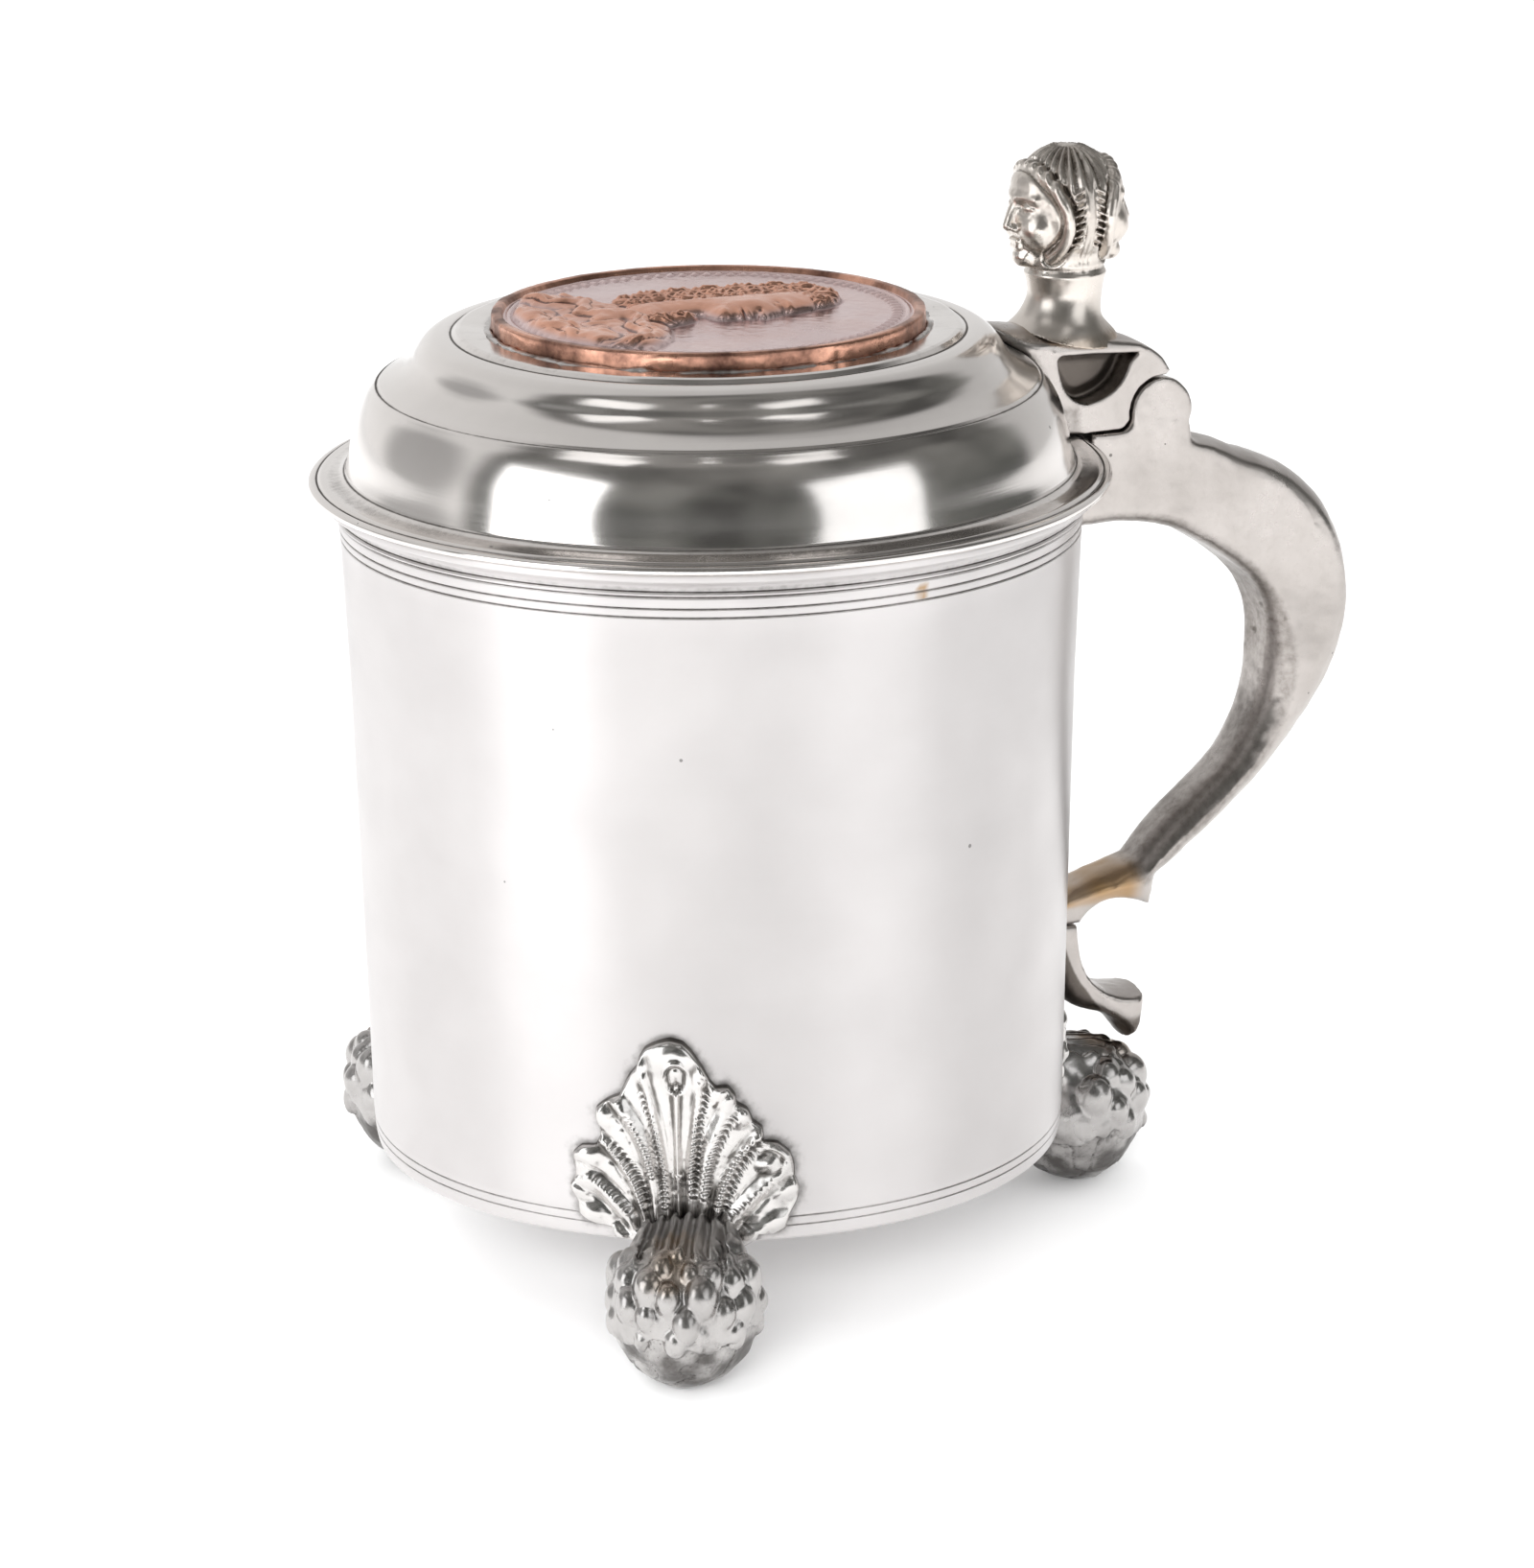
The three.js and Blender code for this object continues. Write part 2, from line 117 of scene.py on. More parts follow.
def mix(a, b, t):
    return a + (b - a) * t


def peak(d, width):
    """A bell curve, 1 where d is 0."""
    return np.exp(-((d / width) ** 2))


def spline(points, per=6):
    """Points on a Catmull-Rom curve through the given ones."""
    p = np.array(points, float)
    p = np.vstack([2 * p[0] - p[1], p, 2 * p[-1] - p[-2]])
    t = np.linspace(0, 1, per, endpoint=False)[:, None]
    out = []
    for a, b, c, d in zip(p, p[1:], p[2:], p[3:]):
        out.append(0.5 * (2 * b + (c - a) * t + (2 * a - 5 * b + 4 * c - d) * t**2
                          + (3 * b - a - 3 * c + d) * t**3))
    return np.vstack([*out, p[-2:-1]])


def bend(a, control, b, steps=6):
    t = np.linspace(0, 1, steps + 1)[:, None]
    a, control, b = map(np.array, (a, control, b))
    return (1 - t) ** 2 * a + 2 * t * (1 - t) * control + t**2 * b


def bends(start, *rest):
    """A list of points along arcs that follow each other, each given by its control, end and steps."""
    out = [start]
    for control, end, steps in rest:
        out += bend(start, control, end, steps).tolist()[1:]
        start = end
    return out


NEARLY_STRAIGHT = -math.cos(math.radians(8))


def softened(profile, radius=0.25):
    """Rounds each real corner of a profile, and holds the flats between with a point beside each end."""
    p = np.array(profile, float)
    out = [p[0]]
    for before, here, after in zip(p, p[1:], p[2:]):
        back, on = before - here, after - here
        back_length, on_length = np.linalg.norm(back), np.linalg.norm(on)
        if back @ on < NEARLY_STRAIGHT * back_length * on_length:
            out.append(here)
            continue
        reach = min(radius, 0.4 * back_length, 0.4 * on_length)
        out.extend(bend(here + back / back_length * reach, here, here + on / on_length * reach, 3))
    out.append(p[-1])
    return np.array(out)


def even(profile, step):
    """Adds points so that none are further apart than step."""
    p = np.array(profile, float)
    out = [p[:1]]
    for a, b in zip(p, p[1:]):
        n = max(1, math.ceil(np.linalg.norm(b - a) / step))
        out.append(a + (b - a) * (np.arange(1, n + 1) / n)[:, None])
    return np.vstack(out)


LATTICE_SIZE = 24
LATTICE = np.random.RandomState(11).rand(*[LATTICE_SIZE] * 3).astype(np.float32)


def noise(x, y, z, size, seed=0):
    """Smooth noise from -1 to 1, with lumps of about that size."""
    x, y, z = np.broadcast_arrays(x / size + 7.3 * seed, y / size + 3.1 * seed, z / size + 5.7 * seed)
    cell = [np.floor(v).astype(int) for v in (x, y, z)]
    part = [v - c for v, c in zip((x, y, z), cell)]
    part = [v * v * (3 - 2 * v) for v in part]
    total = 0
    for i in (0, 1):
        for j in (0, 1):
            for k in (0, 1):
                weight = ((part[0] if i else 1 - part[0]) * (part[1] if j else 1 - part[1])
                          * (part[2] if k else 1 - part[2]))
                corner = tuple((c + step) % LATTICE_SIZE for c, step in zip(cell, (i, j, k)))
                total = total + weight * LATTICE[corner]
    return total * 2 - 1


def layers(place, *rows):
    """A sum of noises over (x, y, z), each given by its strength, size and seed."""
    return sum(strength * noise(*place, size, seed) for strength, size, seed in rows)


def blurred(field, reach):
    """The mean over a square or cube that reaches so many steps each way."""
    for axis in range(field.ndim):
        field = sum(np.roll(field, s, axis) for s in range(-reach, reach + 1)) / (2 * reach + 1)
    return field


def line_distance(x, z, points):
    """Distance from each (x, z) to an open line of points, and how far along the nearest place is."""
    points = [tuple(p) for p in points]
    best = np.full(np.broadcast(x, z).shape, 1e9)
    along = np.zeros_like(best)
    run = 0.0
    for (ax, az), (bx, bz) in zip(points, points[1:]):
        dx, dz = bx - ax, bz - az
        length = math.hypot(dx, dz) + 1e-9
        t = np.clip(((x - ax) * dx + (z - az) * dz) / length**2, 0, 1)
        d = np.hypot(x - ax - t * dx, z - az - t * dz)
        near = d < best
        best = np.where(near, d, best)
        along = np.where(near, run + t * length, along)
        run += length
    return best, along, run


def from_line(x, z, points):
    return line_distance(x, z, points)[0]


def outline_distance(x, z, points):
    """Distance from each (x, z) to a closed outline, negative inside it."""
    points = [tuple(p) for p in points]
    best = from_line(x, z, points + points[:1])
    inside = np.zeros(best.shape, bool)
    for (ax, az), (bx, bz) in zip(points, points[1:] + points[:1]):
        if az == bz:
            continue
        inside ^= ((az > z) != (bz > z)) & (x < ax + (z - az) * (bx - ax) / (bz - az))
    return np.where(inside, -best, best)


def both(a, b, r):
    """Where two solids overlap, with the edge between them rounded to radius r."""
    return np.minimum(np.maximum(a, b), -r) + np.hypot(np.maximum(a + r, 0), np.maximum(b + r, 0))


def joined(a, b, r):
    """Two solids with a fillet of about radius r between them."""
    h = np.maximum(r - np.abs(a - b), 0) / r
    return np.minimum(a, b) - h * h * r / 4


def removed(a, b, r=0.3):
    return both(a, -b, r)


def egg(x, y, z, centre, radii):
    dx, dy, dz = x - centre[0], y - centre[1], z - centre[2]
    k = np.sqrt((dx / radii[0]) ** 2 + (dy / radii[1]) ** 2 + (dz / radii[2]) ** 2)
    g = np.sqrt((dx / radii[0] ** 2) ** 2 + (dy / radii[1] ** 2) ** 2 + (dz / radii[2] ** 2) ** 2)
    return k * (k - 1) / np.maximum(g, 1e-6)


def rod(x, y, z, a, b, ra, rb=None):
    """A rod with round ends from a to b, tapering from radius ra to rb."""
    rb = ra if rb is None else rb
    a, b = np.array(a, float), np.array(b, float)
    d = b - a
    t = np.clip(((x - a[0]) * d[0] + (y - a[1]) * d[1] + (z - a[2]) * d[2]) / (d @ d), 0, 1)
    gap = np.sqrt((x - a[0] - t * d[0]) ** 2 + (y - a[1] - t * d[1]) ** 2 + (z - a[2] - t * d[2]) ** 2)
    return gap - mix(ra, rb, t)


# ---- meshes


def grid(low, high, step):
    """The x, y and z of a box of places, ready to broadcast."""
    axes = [np.arange(a, b + step, step, dtype=np.float32) for a, b in zip(low, high)]
    return axes[0][:, None, None], axes[1][None, :, None], axes[2][None, None, :]


def near_skin(solid, reach, *axes):
    """Which places of a grid are within reach of the surface, and their coordinates."""
    near = np.abs(solid) < reach
    return near, *(np.broadcast_to(v, solid.shape)[near] for v in axes)


def flat_outline(x, z, points):
    """Distance to an outline in the plane of x and z, over a whole grid."""
    return outline_distance(x[:, :, 0], z[0, :, :], points)[:, None, :]


def skin_of(field, low, step):
    """The surface where a field of signed distances is zero: points, quads, and how hollow each place is."""
    size = np.array(field.shape) - 1
    hollow = np.clip(-blurred(field, 3) / (3 * step) - 0.1, 0, 1)
    weights = np.zeros(size.prod())
    sums = np.zeros((3, size.prod()))
    flat = lambda cell: (cell[:, 0] * size[1] + cell[:, 1]) * size[2] + cell[:, 2]
    quads = []
    for axis in range(3):
        start = [slice(None)] * 3
        end = [slice(None)] * 3
        start[axis], end[axis] = slice(0, -1), slice(1, None)
        a, b = field[tuple(start)], field[tuple(end)]
        crossing = (a < 0) != (b < 0)
        at = np.argwhere(crossing)
        fa, fb = a[crossing], b[crossing]
        point = at.astype(float)
        point[:, axis] += fa / (fa - fb)
        u, v = [o for o in range(3) if o != axis]
        ring = []
        for du, dv in ((0, 0), (1, 0), (1, 1), (0, 1)):
            cell = at.copy()
            cell[:, u] -= du
            cell[:, v] -= dv
            ring.append(flat(cell))
        for index in ring:
            weights += np.bincount(index, minlength=weights.size)
            for i in range(3):
                sums[i] += np.bincount(index, point[:, i], minlength=weights.size)
        quad = np.stack(ring, 1)
        turned_over = (fa >= 0) != (axis == 1)
        quad[turned_over] = quad[turned_over][:, ::-1]
        quads.append(quad)
    used = np.flatnonzero(weights)
    number = np.full(weights.size, -1)
    number[used] = np.arange(used.size)
    points = (sums[:, used] / weights[used]).T
    at = np.clip(np.round(points).astype(int), 0, size)
    depth = hollow[at[:, 0], at[:, 1], at[:, 2]]
    return points * step + np.array(low), number[np.vstack(quads)], depth


def woven(points, wrap=True):
    """Quads over an array of points [row, column], with the columns, and the rows if wrap, closed up."""
    rows, columns = points.shape[:2]
    index = np.arange(rows * columns).reshape(rows, columns)
    a = index if wrap else index[:-1]
    b = np.roll(index, -1, 0) if wrap else index[1:]
    quads = np.stack([a, np.roll(a, -1, 1), np.roll(b, -1, 1), b], -1).reshape(-1, 4)
    return points.reshape(-1, 3), quads


def capped(points):
    """As woven, but the first and last rows are closed by a face each."""
    flat, quads = woven(points, wrap=False)
    columns = points.shape[1]
    caps = [list(range(columns))[::-1], list(range(len(flat) - columns, len(flat)))]
    return flat, quads.tolist() + caps


def turned(profile, sides):
    """Points of a [radius, height] profile turned round the axis."""
    p = np.array(profile, float)
    angle = np.arange(sides) / sides * 2 * np.pi
    out = np.zeros((len(p), sides, 3))
    out[..., 0] = p[:, :1] * np.cos(angle)
    out[..., 1] = p[:, :1] * np.sin(angle)
    out[..., 2] = p[:, 1:]
    return out


def make(name, points, faces, body, slot, material, nodes, tarnish_and_shade, stain=0.0):
    """One piece of the visual model, with how much tarnish and painted shade each of its points has, and how
    stained it is.
    """
    place = np.array(points, float) * MM
    place[:, 0] += AXIS_X
    mesh = bpy.data.meshes.new(name)
    mesh.from_pydata(place.tolist(), [], faces.tolist() if hasattr(faces, "tolist") else faces)
    for label, values in (("tarnish_and_shade", tarnish_and_shade), ("stain", stain)):
        values = np.broadcast_to(np.clip(values, 0, 1), len(place))
        layer = mesh.attributes.new(label, "FLOAT", "POINT")
        layer.data.foreach_set("value", np.ascontiguousarray(values, np.float32))
    mesh.shade_smooth()
    mesh.materials.append(material)
    piece = added(name, mesh)
    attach(piece, body)
    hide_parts(*nodes)


# ---- materials


def node(tree, kind, values=None, **settings):
    made = tree.nodes.new("ShaderNode" + kind)
    for key, value in settings.items():
        setattr(made, key, value)
    for socket, value in (values or {}).items():
        if isinstance(value, bpy.types.NodeSocket):
            tree.links.new(value, made.inputs[socket])
        else:
            made.inputs[socket].default_value = value
    return made


def blend_colour(tree, factor, a, b, kind="MIX"):
    made = node(tree, "Mix", data_type="RGBA", blend_type=kind)
    for socket, value in ((0, factor), (6, a), (7, b)):
        if isinstance(value, bpy.types.NodeSocket):
            tree.links.new(value, made.inputs[socket])
        else:
            made.inputs[socket].default_value = value if socket == 0 else (*value[:3], 1)
    return made.outputs[2]


def maths(tree, operation, a, b, **settings):
    return node(tree, "Math", {0: a, 1: b}, operation=operation, **settings).outputs[0]


def remap(tree, value, low, high, to_low, to_high, **settings):
    """A value from low..high moved to to_low..to_high, and held there."""
    numbers = {"Value": value, 1: low, 2: high, 3: to_low, 4: to_high}
    return node(tree, "MapRange", numbers, **settings).outputs[0]


def lathe_marks(tree, here):
    """Fine noise that runs in rings round the drum's axis."""
    parts = node(tree, "SeparateXYZ", {"Vector": here}).outputs
    moved = maths(tree, "SUBTRACT", parts[0], AXIS_X)
    flat = node(tree, "CombineXYZ", {"X": moved, "Y": parts[1]}).outputs[0]
    radius = node(tree, "VectorMath", {0: flat}, operation="LENGTH").outputs["Value"]
    rings = node(tree, "CombineXYZ", {"X": radius, "Y": parts[2]}).outputs[0]
    small = node(tree, "VectorMath", {0: flat, 1: (0.012, 0.012, 0.0)}, operation="MULTIPLY").outputs[0]
    rings = node(tree, "VectorMath", {0: rings, 1: small}, operation="ADD").outputs[0]
    return node(tree, "TexNoise", {"Vector": rings, "Scale": 2600.0, "Detail": 3.0}).outputs["Fac"]


def metal(name, bright, dull, dark, rough, turned_marks=0.0, pits=0.3, pit_size=3.0, grain=0.3,
          mottle=0.35, stained=(0.42, 0.26, 0.12), rough_dark=0.6, bump=0.05, brushed=0.0):
    """Worn metal: bright and dull patches, fine grain, pits, lathe marks, and tarnish, painted shade and
    stains where the mesh says there are some."""
    material = bpy.data.materials.new(name)
    material.use_nodes = True
    tree = material.node_tree
    tree.nodes.clear()
    here = node(tree, "TexCoord").outputs["Object"]
    clouds = {"Vector": here, "Scale": 62.0, "Detail": 5.0, "Roughness": 0.6}
    cloud = node(tree, "TexNoise", clouds).outputs["Fac"]
    grains = {"Vector": here, "Scale": 850.0, "Detail": 5.0, "Roughness": 0.65}
    fine = node(tree, "TexNoise", grains).outputs["Fac"]
    colour = blend_colour(tree, remap(tree, cloud, 0.38, 0.68, 0.0, mottle), bright, dull)
    colour = blend_colour(tree, remap(tree, fine, 0.52, 0.72, 0.0, grain), colour, dull)

    cells = node(tree, "TexVoronoi", {"Vector": here, "Scale": 1000.0 / pit_size, "Randomness": 1.0}).outputs
    pick = node(tree, "SeparateColor", {"Color": cells["Color"]}).outputs[0]
    pit = maths(tree, "LESS_THAN", cells["Distance"], remap(tree, pick, 1.0 - pits, 1.0, 0.0, 0.13))
    colour = blend_colour(tree, pit, colour, [c * 0.45 for c in dull])

    # tarnish and painted shade have a ragged edge, and blend the colour towards dark
    tarnish_and_shade = node(tree, "Attribute", attribute_name="tarnish_and_shade").outputs["Fac"]
    uneven, broken = remap(tree, cloud, 0.25, 0.75, -0.14, 0.14), remap(tree, fine, 0.3, 0.7, -0.09, 0.09)
    wobble = maths(tree, "ADD", uneven, broken)
    wobble = maths(tree, "MULTIPLY", wobble, remap(tree, tarnish_and_shade, 0.0, 0.2, 0.0, 1.0))
    dirt_and_shade = maths(tree, "ADD", tarnish_and_shade, wobble)
    dirt_and_shade = remap(tree, dirt_and_shade, 0.18, 0.85, 0.0, 0.92, interpolation_type="SMOOTHSTEP")
    colour = blend_colour(tree, dirt_and_shade, colour, dark)
    stain = node(tree, "Attribute", attribute_name="stain").outputs["Fac"]
    colour = blend_colour(tree, stain, colour, stained)

    roughness = remap(tree, cloud, 0.3, 0.7, rough * (1 - 0.4 * mottle), rough * (1 + 0.5 * mottle))
    height = maths(tree, "MULTIPLY", fine, grain)
    height = maths(tree, "ADD", height, maths(tree, "MULTIPLY", pit, -0.5))
    if turned_marks:
        streak = lathe_marks(tree, here)
        change = remap(tree, streak, 0.3, 0.7, -0.06 * turned_marks, 0.06 * turned_marks)
        roughness = maths(tree, "ADD", roughness, change)
        height = maths(tree, "ADD", height, maths(tree, "MULTIPLY", streak, turned_marks))
    dirt_and_shade_roughness = maths(tree, "MULTIPLY", dirt_and_shade, rough_dark - rough)
    roughness = maths(tree, "ADD", roughness, dirt_and_shade_roughness, use_clamp=True)
    relief = node(tree, "Bump", {"Height": height, "Strength": bump, "Distance": 0.001}).outputs[0]
    shader = node(tree, "BsdfPrincipled", {
        "Base Color": colour, "Roughness": roughness, "Normal": relief, "Metallic": 1.0,
        "Anisotropic": brushed, "Anisotropic Rotation": 0.25,
    })
    if brushed:
        round_axis = node(tree, "Tangent", direction_type="RADIAL", axis="Z")
        tree.links.new(round_axis.outputs[0], shader.inputs["Tangent"])
    out = node(tree, "OutputMaterial")
    tree.links.new(shader.outputs[0], out.inputs["Surface"])
    return material


DARK = (0.085, 0.075, 0.066)
POLISHED = metal("drum_pewter", (0.66, 0.637, 0.632), (0.62, 0.595, 0.588), DARK, 0.40, turned_marks=0.16,
                 pits=0.05, pit_size=5, grain=0.06, mottle=0.16, bump=0.008, brushed=0.8)
DOME = metal("lid_pewter", (0.81, 0.775, 0.75), (0.70, 0.665, 0.64), DARK, 0.15, turned_marks=0.16,
             pits=0.12, pit_size=4, grain=0.10, mottle=0.3, bump=0.015, brushed=0.25)
CAST = metal("cast_pewter", (0.52, 0.485, 0.462), (0.425, 0.391, 0.367), (0.10, 0.084, 0.072), 0.30,
             pits=0.16, pit_size=2.4, grain=0.45, mottle=0.7, rough_dark=0.36, bump=0.10)
FACE = metal("thumbpiece_pewter", (0.72, 0.67, 0.62), (0.56, 0.505, 0.455), (0.10, 0.08, 0.062), 0.29,
             pits=0.1, pit_size=2, grain=0.2, mottle=0.55, rough_dark=0.35, bump=0.05)
LEAF = metal("leaf_pewter", (0.66, 0.641, 0.627), (0.535, 0.516, 0.498), (0.12, 0.11, 0.10), 0.23,
             pits=0.06, pit_size=1.6, grain=0.2, mottle=0.45, rough_dark=0.4, bump=0.05)
BALL = metal("ball_pewter", (0.50, 0.484, 0.474), (0.37, 0.355, 0.345), (0.09, 0.083, 0.078), 0.25,
             pits=0.25, pit_size=1.3, grain=0.3, mottle=0.6, rough_dark=0.38, bump=0.07)
SOLDER = metal("solder", (0.66, 0.635, 0.62), (0.45, 0.425, 0.41), DARK, 0.34, pits=0.4, pit_size=1.2,
               grain=0.6, mottle=0.8, bump=0.15)
COPPER = metal("medal_copper", (0.84, 0.45, 0.32), (0.62, 0.33, 0.245), (0.095, 0.045, 0.034), 0.24,
               pits=0.1, pit_size=1.5, grain=0.4, mottle=0.6, stained=(0.70, 0.54, 0.535),
               rough_dark=0.45, bump=0.08)

# ---- the palmette of the feet

LEAF_CENTRE = (0.0, 30.0)
LEAF_BEND_R = 54.5          # radius of the drum where the leaves are bent round it
LEAF_EDGE = [
    (-0.9, 51.4), (0.9, 50.9), (2.0, 49.8), (3.5, 47.5), (4.8, 45.0), (5.7, 43.9), (7.5, 44.0), (8.6, 42.7),
    (8.8, 41.4), (10.4, 40.4), (11.2, 38.5), (12.6, 37.4), (12.8, 35.1), (14.8, 34.9), (16.7, 33.2),
    (17.4, 31.3), (17.4, 29.4), (18.1, 27.4), (17.9, 25.5), (16.7, 23.2), (16.1, 20.9), (14.1, 20.0),
    (12.0, 20.4), (11.5, 19.0), (9.7, 17.9), (7.6, 18.2), (5.0, 18.4), (0.0, 18.4), (-5.0, 18.6),
    (-7.9, 18.9), (-9.7, 19.4), (-10.3, 21.0), (-13.4, 21.3), (-15.6, 22.5), (-15.6, 24.4), (-16.3, 25.5),
    (-16.8, 27.4), (-15.8, 29.0), (-16.3, 30.5), (-16.2, 32.4), (-14.8, 33.7), (-12.6, 33.9),
    (-11.7, 35.5), (-12.1, 37.0), (-12.6, 38.5), (-12.3, 40.0), (-10.6, 41.4), (-8.6, 42.3),
    (-7.9, 43.9), (-7.1, 45.6), (-5.9, 46.9), (-5.7, 48.1), (-4.8, 49.8), (-2.7, 50.9),
]


def leaf_reach(angle):
    """How far the leaf's edge is from its centre, at each angle from straight up."""
    edge = np.array(LEAF_EDGE) - LEAF_CENTRE
    at = np.arctan2(edge[:, 0], edge[:, 1])
    order = np.argsort(at)
    return np.interp(angle, at[order], np.hypot(edge[:, 0], edge[:, 1])[order], period=2 * np.pi)


def ridge(x, z, points, width, rise):
    """A raised line that fades at both ends, with the distance from it and along it."""
    d, along, run = line_distance(x, z, points)
    fade = smooth(0, 1.5, along) * (1 - smooth(run - 1.6, run, along))
    return rise * peak(d, width) * (0.35 + 0.65 * fade), d, along


# Stems that spread from the foot of the leaf: start, bend, end, rise and half width.
STEMS = [
    ((0.1, 19.8), (0.1, 30.0), (-0.1, 43.4), 0.85, 0.36),
    ((1.8, 20.0), (1.5, 31.5), (3.4, 44.2), 0.55, 0.5),
    ((3.4, 20.2), (2.9, 33.5), (8.0, 41.6), 0.85, 0.8),
    ((5.0, 20.6), (6.0, 30.5), (11.8, 36.2), 0.6, 0.55),
    ((6.6, 21.0), (9.4, 25.6), (15.6, 30.6), 0.85, 0.9),
    ((-1.6, 20.0), (-1.5, 32.5), (-4.8, 45.2), 0.6, 0.5),
    ((-3.0, 20.2), (-2.9, 34.0), (-8.6, 40.8), 0.85, 0.8),
    ((-4.6, 20.6), (-5.8, 30.5), (-11.6, 35.0), 0.6, 0.55),
    ((-6.2, 21.0), (-9.0, 26.0), (-14.8, 29.6), 0.85, 0.9),
]
# Swollen lobes at the ends of the leaf: centre, half width, half height, lean in degrees, rise.
LOBES = [
    (-0.6, 48.4, 2.9, 2.6, 0, 1.1), (3.4, 45.2, 1.0, 2.6, -28, 0.7), (6.9, 42.4, 1.5, 1.9, -30, 0.9),
    (9.4, 39.4, 1.4, 1.9, -38, 0.85), (11.6, 36.2, 1.3, 1.7, -45, 0.8), (15.0, 32.6, 2.0, 2.5, -40, 1.0),
    (12.9, 31.4, 1.4, 1.2, 0, 0.9), (16.2, 27.6, 1.5, 2.4, -65, 0.8), (14.4, 22.4, 2.6, 1.4, 20, 0.8),
    (10.6, 20.4, 1.9, 1.1, 28, 0.8), (-5.4, 46.2, 1.3, 2.4, 24, 0.8), (-8.7, 41.4, 1.4, 2.5, 42, 0.9),
    (-11.2, 38.6, 1.2, 2.0, 20, 0.8), (-14.0, 31.8, 2.1, 2.2, 40, 0.95), (-15.0, 27.3, 1.6, 2.3, 55, 0.8),
    (-13.8, 23.2, 2.2, 1.6, -25, 0.8), (-9.2, 20.3, 1.5, 1.1, -20, 0.8),
]


def leaf_relief(t, z):
    """Height of the palmette over the drum."""
    height = 0.95 + 0.25 * noise(t, z, 0, 4.0, 3)
    for x, y, wide, tall, lean, rise in LOBES:
        a = math.radians(lean)
        u = (t - x) * math.cos(a) + (z - y) * math.sin(a)
        v = -(t - x) * math.sin(a) + (z - y) * math.cos(a)
        height = height + rise * np.exp(-(((u / wide) ** 2 + (v / tall) ** 2) ** 1.6))
    stems = 0
    for start, control, end, rise, width in STEMS:
        shape, d, along = ridge(t, z, bend(start, control, end, 14), width, rise)
        stems = np.maximum(stems, shape)
        height = height - 0.28 * peak(d - 1.9 * width, 0.45) * (along > 0.5)
    height = height + stems
    # beaded and ladder-cut strips lie between the stems
    for points, width, pitch, rise in (
        (bend((2.3, 27.0), (2.2, 34.0), (4.2, 43.4), 10), 0.75, 1.0, 0.42),
        (bend((-2.0, 25.0), (-2.0, 34.0), (-5.2, 42.6), 10), 0.6, 0.9, 0.4),
        (bend((4.0, 27.0), (4.6, 33.5), (8.4, 39.4), 10), 0.8, 1.0, 0.35),
        (bend((6.2, 24.5), (7.6, 31.5), (12.2, 35.2), 10), 1.25, 1.05, 0.42),
        (bend((-5.0, 25.0), (-6.2, 31.0), (-10.2, 34.6), 10), 0.9, 1.0, 0.4),
        (bend((-3.7, 30.0), (-4.6, 35.0), (-8.2, 39.0), 8), 0.7, 0.95, 0.35),
        (bend((-7.4, 24.0), (-9.8, 27.0), (-12.8, 29.0), 8), 0.6, 1.1, 0.25),
        (bend((8.0, 24.0), (11.0, 26.4), (14.4, 28.8), 8), 0.6, 1.1, 0.25),
    ):
        d, along, _ = line_distance(t, z, points)
        curved = along + 0.35 * (d / width) ** 2
        wave = 0.5 + 0.5 * np.cos(2 * np.pi * curved / pitch)
        height = height + rise * (wave - 0.35) * np.exp(-((d / width) ** 4))
    # an oval bud at the top of the middle stem, and a curl on one side lobe
    bud = np.hypot(t + 0.1, (z - 45.3) / 1.45)
    height = height + 0.4 * peak(bud, 0.8) - 0.45 * peak(bud - 1.3, 0.28)
    height = height + 0.35 * peak(bud - 1.75, 0.3)
    curl = np.hypot(t - 13.6, z - 31.8)
    turn = np.arctan2(z - 31.8, t - 13.6)
    height = height - 0.5 * peak(curl - 1.7, 0.3) * smooth(-0.9, 0.2, np.cos(turn - 0.6))
    return height + 0.06 * noise(t, z, 0, 0.6, 5)


def drum_radius(z):
    return np.interp(z, [18.8, 19.8, 25, 60, 92, 115.5], [52.7, 53.5, 53.9, 54.7, 55.5, 56.5])


